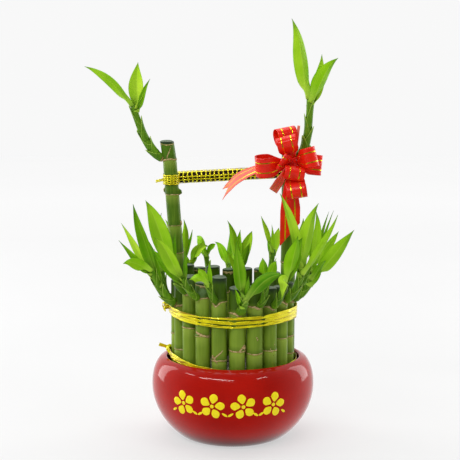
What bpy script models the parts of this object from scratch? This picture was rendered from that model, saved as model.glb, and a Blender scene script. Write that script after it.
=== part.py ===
"""Lucky bamboo: a ring of cut stalks tied with gold foil, standing on pebbles in a round glazed pot.

Two stalks of the ring are tall and carry a netted crossbar with a ribbon bow. The origin is the centre of
the pot's flat base, +Z points up and the front of the plant faces -Y. Sizes and places in the tables are
in millimetres and are turned into metres when a mesh is made.
"""
import math

import bmesh
import bpy
from mathutils import Vector

MM = 0.001
GAP = 0.3                     # clearance between neighbouring pieces
UP = Vector((0.0, 0.0, 1.0))
FRONT = Vector((0.0, -1.0, 0.0))

# Pot: a squat bowl whose outline is two elliptical arcs, below and above its widest height.
POT_RADIUS = 70.0
POT_HEIGHT = 70.0
POT_WIDEST_Z = 46.0
POT_LOWER_ARC = 59.0          # vertical semi-axis of the arc below the widest height
POT_SHOULDER_X = 58.0         # radius at the top of the shoulder arc
POT_WALL = 4.5
POT_FLOOR = 7.5
MOUTH_RADIUS = 56.8
LIP = 1.2
POT_SEGMENTS = 32

# Pebble bed: fills the bowl, with a round trench that the stalks stand in.
BED_TOP = 58.0
TRENCH_FLOOR = 21.7
TRENCH_INNER = 38.5
TRENCH_OUTER = 55.5

# Stalk ring: STALK_COUNT places round a circle; the first place is FIRST_ANGLE to the right of the front.
RING_RADIUS = 47.2
STALK_COUNT = 20
FIRST_ANGLE = 4.0
STALK_FOOT = TRENCH_FLOOR + GAP
STALK_SIDES = 10
NODE_SWELL = 0.45             # how far a growth ring stands out of the stalk
NODE_HALF = 1.3               # half the height of a growth ring

# Ties, lashings and crossbar.
TIE_INNER = 54.6
FOIL = 0.8                    # thickness of the folded foil and of the ribbon solids
UPPER_TIE = (104.6, 113.0)    # lowest and highest edge
LOWER_TIE = (66.5, 74.5)
BAR_RADIUS = 4.6
NET_INNER = BAR_RADIUS + GAP
NET_OUTER = NET_INNER + 0.6
BAR_LEFT = Vector((-60.0, 20.6, 221.2))
BAR_RIGHT = Vector((56.0, 16.2, 227.6))

# Bow.
BOW = Vector((50.0, -9.4, 236.6))
KNOT_HALF = Vector((5.0, 4.6, 5.6))
RIBBON_WIDTH = 18.0

# Shoots.
LEAF_STEPS = 5
STEM_SIDES = 7

# One row for each short stalk: place in the ring, radius, top height, heights of the growth rings.
SHORT_STALKS = {
    "stalk_01": (-5, 6.1, 136.0, (89.5, 120.0)),
    "stalk_02": (-4, 6.1, 133.0, (79.0, 117.6)),
    "stalk_03": (-3, 6.2, 144.0, (99.8, 130.0)),
    "stalk_04": (-2, 6.3, 140.0, (95.5, 126.6)),
    "stalk_05": (-1, 6.4, 146.0, (76.0, 125.3)),
    "stalk_06": (0, 6.6, 137.2, (84.3, 116.5)),
    "stalk_07": (1, 6.9, 137.0, (81.8, 121.4)),
    "stalk_08": (2, 6.2, 135.0, (81.9, 119.0)),
    "stalk_09": (3, 6.1, 134.0, (90.6, 122.0)),
    "stalk_10": (4, 6.1, 135.0, (74.1, 89.4, 119.8)),
    "stalk_11": (6, 6.0, 136.0, (83.0, 119.0)),
    "stalk_12": (7, 6.1, 137.0, (92.0, 120.0)),
    "stalk_13": (8, 6.2, 138.9, (79.0, 119.0)),
    "stalk_14": (9, 6.3, 138.3, (88.0, 118.0)),
    "stalk_15": (-10, 6.1, 137.7, (94.0, 117.0)),
    "stalk_16": (-9, 6.2, 140.5, (82.0, 119.0)),
    "stalk_17": (-8, 6.0, 140.7, (90.0, 120.0)),
    "stalk_18": (-7, 6.1, 144.7, (86.0, 122.0)),
}

# The two tall stalks: place, radius, growth rings, and the points of the centre line above the ring.
TALL_STALKS = {
    "tall_stalk_left": (-6, 6.0, (157.2, 181.6, 208.8, 238.1),
                        ((-46.0, 11.4, 115.5), (-48.6, 10.6, 157.2), (-52.2, 9.0, 208.8),
                         (-54.2, 7.6, 238.1), (-56.6, 7.0, 254.8))),
    "tall_stalk_right": (5, 6.3, (150.0, 187.0, 222.0, 238.0),
                         ((47.4, 3.3, 130.0), (47.9, 3.3, 190.0), (47.9, 3.3, 246.0))),
}

# Shoots: the stalk and growth ring it comes from, the crown where its leaves part, measured from the
# middle of that ring (right, back, up), stem radius, and its leaves. A leaf is its tip measured from the
# crown, its width, and how far its middle is lifted (or, below zero, dropped) from a straight line.
SHOOTS = {
    "shoot_01": ("stalk_01", 120.0, (-13, -1, 26), 2.4, (
        ((-4, 12, 46), 8, 0), ((-22, -4, 38), 6, -3))),
    "shoot_02": ("stalk_02", 117.6, (-24, -12, 31), 3.4, (
        ((-23, -14, 8), 10, 4), ((-26, -5, 26), 6, -6), ((-25, 6, 39), 6, -3), ((-16, -4, 55), 10, 1))),
    "shoot_03": ("stalk_03", 130.0, (-14, -20, 25), 2.8, (
        ((-17, -8, 54), 16, 4), ((3, -1, 27), 4, 0))),
    "shoot_04": ("stalk_04", 126.6, (-16, -20, 20), 2.8, (
        ((-20, -16, 34), 15, 6), ((3, -2, 22), 4, 0))),
    "shoot_05": ("stalk_05", 125.3, (-9, -18, 18), 2.6, (
        ((-14, -12, 4), 7, 4), ((-7, -6, 13), 8, 2), ((1, 0, 17), 4, 0))),
    "shoot_06": ("stalk_06", 116.5, (6, -17, 16), 3.4, (
        ((-8, -10, 45), 10, 0), ((30, -20, 21), 10, 6), ((3, -4, 17), 5, 0))),
    "shoot_07": ("stalk_07", 121.4, (10, -14, 25), 2.6, (
        ((-4, -4, 17), 7, 0), ((7, -9, 15), 7, 3))),
    "shoot_08": ("stalk_08", 119.0, (12, -20, 26), 2.8, (
        ((10, -12, 37), 11, 0), ((-3, -18, -14), 9, 14))),
    "shoot_09": ("stalk_09", 122.0, (18, -14, 31), 3.2, (
        ((-21, -22, 62), 8, 4), ((8, -12, 54), 12, 0), ((27, -26, 45), 6, -6), ((-9, -8, 29), 4, 0))),
    "shoot_10": ("stalk_10", 119.8, (23, -7, 25), 3.2, (
        ((3, 0, 52), 9, 0), ((32, -8, 37), 13, -4), ((8, -13, 12), 7, 2))),
    "shoot_11": ("stalk_11", 119.0, (28, 9, 27), 2.8, (
        ((12, 4, 45), 5, 0), ((24, 18, 24), 8, 4))),
    "shoot_12": ("stalk_12", 120.0, (22, 20, 24), 2.8, (
        ((7, 4, 38), 8, 0), ((20, 18, 22), 9, 4), ((-4, 16, 26), 7, 2))),
    "shoot_13": ("stalk_13", 119.0, (12, 20, 34), 2.8, (
        ((-12, 2, 30), 6, 2), ((-1, 4, 22), 6, 0), ((6, 16, 18), 8, 3))),
    "shoot_14": ("stalk_14", 118.0, (-6, -11, 26), 2.6, (
        ((-8, -2, 39), 8, 0), ((1, 10, 29), 8, 0), ((13, 12, 27), 10, 6), ((10, -7, 19), 7, 2))),
    "shoot_15": ("stalk_15", 117.0, (0, 22, 22), 2.6, (
        ((13, 22, 8), 9, 6), ((-12, 18, 18), 8, 4), ((1, 10, 26), 7, 0))),
    "shoot_16": ("stalk_16", 119.0, (-6, 17, 30), 2.4, (
        ((8, 4, 8), 6, 3), ((-4, 2, 15), 4, 0), ((-9, 22, 14), 8, 5))),
    "shoot_17": ("stalk_17", 120.0, (-9, 17, 22), 2.6, (
        ((17, 0, 14), 11, 7), ((-16, 16, 24), 8, 4))),
    "shoot_18": ("stalk_18", 122.0, (-5, 14, 29), 2.4, (
        ((-5, 2, 33), 7, 0), ((3, 0, 32), 7, 0), ((-16, 14, 22), 7, 4))),
    "tall_shoot_left": ("tall_stalk_left", 238.1, (-30.5, -3, 47), 3.5, (
        ((-42, -8, 29), 12, 12), ((2, 2, 33), 13, 0), ((11, -6, 19), 5, -2))),
    "tall_shoot_right": ("tall_stalk_right", 238.0, (14.5, -1, 47), 3.7, (
        ((-12, -8, 70), 14, 2), ((24, -10, 39), 14, 2), ((16, 10, 41), 10, 0))),
}

# Bow loops: the way each points from the knot, the way its ribbon's width lies, length and belly.
BOW_LOOPS = {
    "bow_loop_left": ((-1.0, -0.25, 0.02), (0.0, 0.1, 1.0), 31.0, 14.0),
    "bow_loop_right_front": ((0.70, -0.62, 0.38), (-0.30, 0.12, 1.0), 26.0, 9.0),
    "bow_loop_right_back": ((1.0, 0.26, -0.02), (0.06, 0.1, 1.0), 26.0, 8.0),
    "bow_loop_top_outer": ((-0.16, 0.20, 1.0), (1.0, 0.12, 0.02), 35.0, 13.0),
    "bow_loop_top_inner": ((-0.20, -0.64, 1.0), (1.0, 0.0, 0.04), 28.0, 9.0),
    "bow_loop_bottom_inner": ((0.0, -1.0, -0.50), (1.0, 0.10, 0.1), 20.0, 7.0),
    "bow_loop_bottom_outer": ((0.20, -0.50, -1.0), (1.0, 0.0, 0.3), 30.0, 9.0),
}

# Bow tails: points along the ribbon from the knot, and the ribbon's width at its start and its end.
BOW_TAILS = {
    "bow_tail_left": (((45.4, -7.4, 235.0), (30.0, -1.0, 230.0), (10.0, -3.0, 221.5), (-12.0, -9.0, 212.4)),
                      (5.0, 18.0), (0.25, 0.75, 0.8)),
    "bow_tail_down": (((50.4, -9.2, 230.7), (48.4, -11.0, 214.0), (48.2, -11.0, 190.0), (48.4, -10.4, 164.0)),
                      (7.0, 16.5), (1.0, 0.10, 0.0)),
    "bow_tail_short": (((46.8, -7.1, 232.6), (41.0, -4.8, 224.0), (34.5, -4.4, 215.0)),
                       (3.0, 7.5), (0.7, 0.0, -0.7)),
}

COLOURS = {                   # base colour, roughness, metallic
    "red_glaze": ((0.42, 0.012, 0.006), 0.18, 0.0),
    "pebble": ((0.55, 0.52, 0.46), 0.6, 0.0),
    "stalk": ((0.20, 0.33, 0.035), 0.42, 0.0),
    "leaf": ((0.24, 0.50, 0.02), 0.38, 0.0),
    "bar": ((0.10, 0.05, 0.02), 0.6, 0.0),
    "gold_foil": ((0.90, 0.70, 0.02), 0.25, 0.9),
    "ribbon": ((0.70, 0.02, 0.015), 0.3, 0.0),
}


def make_materials():
    """Principled materials of the plant, the pot and the trim."""
    made = {}
    for name, (colour, roughness, metallic) in COLOURS.items():
        material = bpy.data.materials.new(name)
        material.use_nodes = True
        shader = material.node_tree.nodes["Principled BSDF"]
        shader.inputs["Base Color"].default_value = (*colour, 1.0)
        shader.inputs["Roughness"].default_value = roughness
        shader.inputs["Metallic"].default_value = metallic
        made[name] = material
    return made


def smoothstep(t):
    return t * t * (3.0 - 2.0 * t)


def mesh_from(rows, closed_rows=True, caps=(True, True)):
    """Closed mesh over rows of points; a row of one point is a pole, and the other end rows are capped."""
    bm = bmesh.new()
    grid = []
    for row in rows:
        grid.append([bm.verts.new(Vector(p) * MM) for p in row])
    for low, high in zip(grid, grid[1:]):
        count = max(len(low), len(high))
        for i in range(count if closed_rows else count - 1):
            j = (i + 1) % count
            if len(low) == 1:
                corners = (low[0], high[j], high[i])
            elif len(high) == 1:
                corners = (low[i], low[j], high[0])
            else:
                corners = (low[i], low[j], high[j], high[i])
            bm.faces.new(corners)
    if caps[0] and len(grid[0]) > 2:
        bm.faces.new(list(reversed(grid[0])))
    if caps[1] and len(grid[-1]) > 2:
        bm.faces.new(grid[-1])
    return bm


def add_object(name, bm, material, sharp=35.0):
    """Object from a closed bmesh, with outward faces and smooth shading below the sharp angle."""
    bmesh.ops.recalc_face_normals(bm, faces=bm.faces)
    mesh = bpy.data.meshes.new(name)
    bm.to_mesh(mesh)
    bm.free()
    mesh.materials.append(material)
    mesh.shade_smooth()
    mesh.set_sharp_from_angle(angle=math.radians(sharp))
    obj = bpy.data.objects.new(name, mesh)
    bpy.context.collection.objects.link(obj)
    return obj


def unite(body, other):
    """Unite another object with a body, keep the result as the body's mesh and remove the other."""
    union = body.modifiers.new("union", "BOOLEAN")
    union.operation = "UNION"
    union.solver = "EXACT"
    union.object = other
    evaluated = body.evaluated_get(bpy.context.evaluated_depsgraph_get())
    before = body.data
    body.data = bpy.data.meshes.new_from_object(evaluated)
    body.data.name = body.name
    body.modifiers.remove(union)
    bpy.data.meshes.remove(before)
    bpy.data.objects.remove(other, do_unlink=True)


def turned(profile, segments):
    """Solid of revolution over (radius, height) points; a profile off the axis closes on itself."""
    def ring(radius, height):
        if radius == 0.0:
            return [(0.0, 0.0, height)]
        turns = [2.0 * math.pi * i / segments for i in range(segments)]
        return [(radius * math.cos(a), radius * math.sin(a), height) for a in turns]
    rows = [ring(radius, height) for radius, height in profile]
    if profile[0][0] > 0.0:
        bm = mesh_from(rows, caps=(False, False))
        bm.verts.ensure_lookup_table()
        last = len(bm.verts) - segments
        for i in range(segments):
            j = (i + 1) % segments
            bm.faces.new((bm.verts[last + i], bm.verts[last + j], bm.verts[j], bm.verts[i]))
        return bm
    return mesh_from(rows)


def tube_frames(points):
    """Tangent and two side vectors at each point of a path, turning as little as possible."""
    frames = []
    side = None
    for i, point in enumerate(points):
        before = points[max(i - 1, 0)]
        after = points[min(i + 1, len(points) - 1)]
        tangent = (after - before).normalized()
        if side is None:
            side = tangent.orthogonal().normalized()
        side = (side - tangent * side.dot(tangent)).normalized()
        frames.append((point, tangent, side, tangent.cross(side)))
    return frames


def tube(points, radii, sides, seat=None):
    """Capped round tube along a path, with a radius at each point; seat is the way its first end faces."""
    rows = []
    for (point, tangent, across, over), radius in zip(tube_frames(points), radii):
        if seat is not None and not rows:
            turned_by = tangent.rotation_difference(seat)
            across = turned_by @ across
            over = turned_by @ over
        turns = [2.0 * math.pi * i / sides for i in range(sides)]
        rows.append([point + across * (radius * math.cos(a)) + over * (radius * math.sin(a)) for a in turns])
    return mesh_from(rows)


def strip(points, widths, side, thickness):
    """Flat ribbon along a path: side is the way its width lies, kept square to the path."""
    rows = []
    for (point, tangent, _, _), width in zip(tube_frames(points), widths):
        across = (side - tangent * side.dot(tangent)).normalized() * (width / 2.0)
        over = tangent.cross(across).normalized() * (thickness / 2.0)
        rows.append([point - across - over, point + across - over, point + across + over, point - across + over])
    return mesh_from(rows)


def bezier(start, middle, end, steps):
    """Points of a quadratic curve."""
    points = []
    for i in range(steps + 1):
        t = i / steps
        points.append(start * (1.0 - t) ** 2 + middle * (2.0 * t * (1.0 - t)) + end * t ** 2)
    return points


def arc_band(centre, inner, low, high, half_angle, steps):
    """Open foil band round an upright post: an arc either side of the front."""
    rows = []
    for i in range(steps + 1):
        angle = math.radians(-half_angle + 2.0 * half_angle * i / steps)
        way = Vector((math.sin(angle), -math.cos(angle), 0.0))
        near = centre + way * inner
        far = centre + way * (inner + FOIL)
        rows.append([near + UP * low, far + UP * low, far + UP * high, near + UP * high])
    return mesh_from(rows)


def place_in_ring(place):
    """Centre of a stalk's place, counted from the front towards the right."""
    angle = math.radians(FIRST_ANGLE + place * 360.0 / STALK_COUNT)
    return Vector((RING_RADIUS * math.sin(angle), -RING_RADIUS * math.cos(angle), 0.0))


def pot_radius(z):
    """Outer radius of the pot at a height below the lip."""
    if z <= POT_WIDEST_Z:
        return POT_RADIUS * math.sqrt(1.0 - ((POT_WIDEST_Z - z) / POT_LOWER_ARC) ** 2)
    rise = (z - POT_WIDEST_Z) / (POT_HEIGHT - POT_WIDEST_Z)
    return POT_SHOULDER_X + (POT_RADIUS - POT_SHOULDER_X) * math.sqrt(max(0.0, 1.0 - rise * rise))


def make_pot(materials):
    heights = [0.0, 4.0, 9.0, 15.0, 22.0, 30.0, 38.0, POT_WIDEST_Z, 52.0, 58.0, 63.0, 67.0]
    outside = [(0.0, 0.0)] + [(pot_radius(z), z) for z in heights]
    lip = [(POT_SHOULDER_X + 1.6, POT_HEIGHT - 0.4), (POT_SHOULDER_X, POT_HEIGHT),
           (MOUTH_RADIUS, POT_HEIGHT - LIP), (MOUTH_RADIUS, POT_HEIGHT - 2.0 * LIP)]
    inside = [(pot_radius(z) - POT_WALL, z) for z in (63.5, 57.0, POT_WIDEST_Z, 34.0, 24.0, 16.0)]
    floor = [(pot_radius(POT_FLOOR) - 2.0 * POT_WALL, POT_FLOOR), (0.0, POT_FLOOR)]
    bm = turned(outside + lip + inside + floor, POT_SEGMENTS)
    add_object("pot", bm, materials["red_glaze"])


def make_pebble_bed(materials):
    """Pebbles as one turned solid, clear of the bowl's wall and open where the stalks stand."""
    heights = (16.0, 24.0, 34.0, POT_WIDEST_Z, BED_TOP - 3.0)
    wall = [(pot_radius(z) - POT_WALL - 3.0 * GAP, z) for z in heights]
    foot = [(0.0, POT_FLOOR + GAP), (pot_radius(POT_FLOOR) - 2.5 * POT_WALL, POT_FLOOR + GAP)]
    top = [(TRENCH_OUTER + 3.0, BED_TOP), (TRENCH_OUTER, BED_TOP)]
    trench = [(TRENCH_OUTER, TRENCH_FLOOR), (TRENCH_INNER, TRENCH_FLOOR), (TRENCH_INNER, BED_TOP)]
    bm = turned(foot + wall + top + trench + [(0.0, BED_TOP)], POT_SEGMENTS)
    add_object("pebble_bed", bm, materials["pebble"])


def path_point(path, z):
    """Point of a rising path at a height."""
    for low, high in zip(path, path[1:]):
        if z <= high.z:
            return low.lerp(high, (z - low.z) / (high.z - low.z))
    return path[-1].copy()


def make_stalk(name, path, radius, nodes, material):
    """Stalk along a rising path, a little thicker at its growth rings."""
    stations = [(path[0].z, radius)]
    for z in nodes:
        stations += [(z - NODE_HALF, radius), (z, radius + NODE_SWELL), (z + NODE_HALF, radius)]
    for point in path[1:-1]:
        if all(abs(point.z - z) > 2.0 * NODE_HALF for z in nodes):
            stations.append((point.z, radius))
    stations.append((path[-1].z, radius * 0.97))
    stations.sort()
    rows = []
    for z, r in stations:
        centre = path_point(path, z)
        turns = [2.0 * math.pi * i / STALK_SIDES for i in range(STALK_SIDES)]
        rows.append([centre + Vector((r * math.cos(a), r * math.sin(a), 0.0)) for a in turns])
    add_object(name, mesh_from(rows), material)


def make_stalks(materials):
    """All stalks; returns each one's centre line and radius."""
    made = {}
    for name, (place, radius, top, nodes) in SHORT_STALKS.items():
        centre = place_in_ring(place)
        path = [centre + UP * STALK_FOOT, centre + UP * top]
        make_stalk(name, path, radius, nodes, materials["stalk"])
        made[name] = (path, radius)
    for name, (place, radius, nodes, above) in TALL_STALKS.items():
        path = [place_in_ring(place) + UP * STALK_FOOT] + [Vector(p) for p in above]
        make_stalk(name, path, radius, nodes, materials["stalk"])
        made[name] = (path, radius)
    return made


def leaf_rows(base, lean, tip, width, lift):
    """Rows of a leaf blade: a thin lens in section, widest past a third of its length, pointed."""
    middle = base.lerp(tip, 0.45) + UP * lift + lean * ((tip - base).length * 0.12)
    points = bezier(base, middle, tip, LEAF_STEPS)
    rows = []
    for i, (point, tangent, _, _) in enumerate(tube_frames(points)[:-1]):
        t = i / LEAF_STEPS
        broad = max(1.1, width / 2.0 * math.sin(math.pi * t ** 0.8) ** 0.8 if t > 0.0 else 1.1)
        thick = 0.75 - 0.35 * t
        across = tangent.cross(FRONT + UP * 0.25).normalized() * broad
        over = tangent.cross(across).normalized() * thick
        rows.append([point - across, point - over, point + across, point + over])
    rows.append([tip])
    return rows


def make_shoot(name, stalk, height, reach, stem_radius, leaves, materials):
    """Shoot: a curved stem that swells out of the stalk, with its leaves united to its top."""
    path, stalk_radius = stalk
    outward = Vector((reach[0], reach[1], 0.0)).normalized()
    swell = (0.8, 1.05, 1.1, 0.9, 0.6)
    foot_z = height + NODE_HALF + stem_radius * swell[0] + 0.4
    start = path_point(path, foot_z) + outward * (stalk_radius + GAP)
    crown = path_point(path, height) + Vector(reach)
    sideways = Vector((crown.x - start.x, crown.y - start.y, 0.0)).length
    rise = crown.z - start.z
    middle = start + outward * max(2.9 * stem_radius, 0.6 * sideways) + UP * (0.3 * min(rise, sideways))
    points = bezier(start, middle, crown, len(swell) - 1)
    bm = tube(points, [stem_radius * s for s in swell], STEM_SIDES, seat=outward)
    bmesh.ops.triangulate(bm, faces=bm.faces)
    stem = add_object(name, bm, materials["leaf"])
    lean = (crown - points[-2]).normalized()
    for order, (tip, width, lift) in enumerate(leaves):
        base = crown - lean * (stem_radius * (0.7 + 0.45 * order))
        blade = mesh_from(leaf_rows(base, lean, crown + Vector(tip), width, lift))
        bmesh.ops.triangulate(blade, faces=blade.faces)
        unite(stem, add_object("blade", blade, materials["leaf"]))


def make_shoots(stalks, materials):
    for name, (stalk, height, reach, stem_radius, leaves) in SHOOTS.items():
        make_shoot(name, stalks[stalk], height, reach, stem_radius, leaves, materials)


def make_ties(materials):
    """The two foil ties round the ring and the twist that closes the upper one."""
    for name, (low, high) in (("tie_upper", UPPER_TIE), ("tie_lower", LOWER_TIE)):
        outer = TIE_INNER + FOIL
        profile = [(TIE_INNER, low), (outer, low), (outer, high), (TIE_INNER, high)]
        add_object(name, turned(profile, POT_SEGMENTS), materials["gold_foil"])
    side = Vector((math.sin(math.radians(-86.0)), -math.cos(math.radians(-86.0)), 0.0))
    start = side * (TIE_INNER + FOIL + GAP + 0.2) + UP * 112.0
    points = [start, start + side * 2.6 + UP * 2.2, start + side * 4.6 + UP * 0.2, start + side * 3.4 - UP * 3.4]
    add_object("tie_twist", tube(points, (1.2, 1.8, 2.0, 1.0), 6), materials["gold_foil"])


def make_crossbar(stalks, materials):
    """Crossbar behind the tall stalks, its foil net, and the lashings at both ends."""
    steps = 6
    points = [BAR_LEFT.lerp(BAR_RIGHT, i / steps) for i in range(steps + 1)]
    add_object("crossbar", tube(points, [BAR_RADIUS] * (steps + 1), 12), materials["bar"])
    inset = (BAR_RIGHT - BAR_LEFT).normalized() * 2.0
    ends = (BAR_LEFT + inset, BAR_RIGHT - inset)
    net = bmesh.new()
    rims = []
    for radius in (NET_INNER, NET_OUTER):
        for end in ends:
            frame = tube_frames([end, end + inset])[0]
            turns = [2.0 * math.pi * i / 16 for i in range(16)]
            ring = [end + frame[2] * (radius * math.cos(a)) + frame[3] * (radius * math.sin(a)) for a in turns]
            rims.append([net.verts.new(p * MM) for p in ring])
    inner_left, inner_right, outer_left, outer_right = rims
    pairs = ((inner_left, inner_right), (inner_right, outer_right), (outer_right, outer_left),
             (outer_left, inner_left))
    for one, other in pairs:
        for i in range(16):
            j = (i + 1) % 16
            net.faces.new((one[i], one[j], other[j], other[i]))
    add_object("crossbar_net", net, materials["gold_foil"])
    for name, stalk, end, low, high, material in (
            ("lashing_left", "tall_stalk_left", BAR_LEFT, -4.5, 4.0, "gold_foil"),
            ("lashing_right", "tall_stalk_right", BAR_RIGHT, 1.0, 9.0, "ribbon")):
        path, radius = stalks[stalk]
        centre = path_point(path, end.z)
        bm = arc_band(centre, radius + GAP + 0.35, low, high, 118.0, 14)
        add_object(name, bm, materials[material])


def make_bow(materials):
    """Ribbon bow: a knot, seven loops and three tails, each clear of the knot."""
    knot = bmesh.new()
    bmesh.ops.create_icosphere(knot, subdivisions=2, radius=MM)
    bmesh.ops.scale(knot, vec=KNOT_HALF, verts=knot.verts)
    bmesh.ops.translate(knot, vec=BOW * MM, verts=knot.verts)
    add_object("bow_knot", knot, materials["ribbon"], sharp=80.0)
    steps = 14
    for name, (way, side, length, belly) in BOW_LOOPS.items():
        way = Vector(way).normalized()
        side = Vector(side)
        side = (side - way * side.dot(way)).normalized()
        bulge = way.cross(side)
        start = 1.0 / math.sqrt(sum((way[i] / KNOT_HALF[i]) ** 2 for i in range(3))) + 2.0 * GAP
        points = []
        widths = []
        for i in range(steps + 1):
            t = i / steps
            out = start + (length - start) * math.sin(math.pi * t) ** 0.85
            apart = belly / 2.0 * math.sin(2.0 * math.pi * t) * 1.1 + (1.0 - 2.0 * t) * 0.9
            points.append(BOW + way * out + bulge * apart)
            opening = smoothstep(min(1.0, math.sin(math.pi * t) * 1.6))
            widths.append(4.0 + (RIBBON_WIDTH - 4.0) * opening)
        add_object(name, strip(points, widths, side, FOIL), materials["ribbon"])
    for name, (route, (first, last), side) in BOW_TAILS.items():
        points = [Vector(p) for p in route]
        count = len(points) - 1
        widths = [first + (last - first) * min(1.0, 1.6 * i / count) for i in range(count + 1)]
        add_object(name, strip(points, widths, Vector(side), FOIL), materials["ribbon"])


def main():
    for obj in list(bpy.data.objects):
        bpy.data.objects.remove(obj, do_unlink=True)
    materials = make_materials()
    make_pot(materials)
    make_pebble_bed(materials)
    stalks = make_stalks(materials)
    make_shoots(stalks, materials)
    make_ties(materials)
    make_crossbar(stalks, materials)
    make_bow(materials)


main()
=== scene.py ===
"""Looks of the lucky bamboo: fine meshes, procedural finishes, light and camera round the CAD frame."""
import math
import random

import bpy
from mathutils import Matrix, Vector, noise


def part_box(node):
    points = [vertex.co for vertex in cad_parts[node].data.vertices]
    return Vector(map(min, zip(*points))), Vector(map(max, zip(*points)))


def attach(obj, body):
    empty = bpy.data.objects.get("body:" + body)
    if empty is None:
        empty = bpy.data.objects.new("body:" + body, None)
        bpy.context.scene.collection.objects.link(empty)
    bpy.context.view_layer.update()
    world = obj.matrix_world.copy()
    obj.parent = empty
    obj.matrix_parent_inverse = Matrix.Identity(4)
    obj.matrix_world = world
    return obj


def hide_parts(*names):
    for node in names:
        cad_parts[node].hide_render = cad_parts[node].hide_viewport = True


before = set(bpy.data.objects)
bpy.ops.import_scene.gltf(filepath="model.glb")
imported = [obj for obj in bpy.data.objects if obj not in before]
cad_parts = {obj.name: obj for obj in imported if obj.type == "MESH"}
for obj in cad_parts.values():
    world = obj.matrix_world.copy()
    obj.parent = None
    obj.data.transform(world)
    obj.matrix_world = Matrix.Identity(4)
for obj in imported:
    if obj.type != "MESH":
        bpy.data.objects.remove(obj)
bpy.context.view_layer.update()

MM = 0.001                    # the tables below are in millimetres
UP = Vector((0.0, 0.0, 1.0))
FRONT = Vector((0.0, -1.0, 0.0))
RIBBON_WIDTH = 17.0
KNOT_WIDTH = 7.5              # of the gathered ribbon where it leaves the bow's knot

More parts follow.
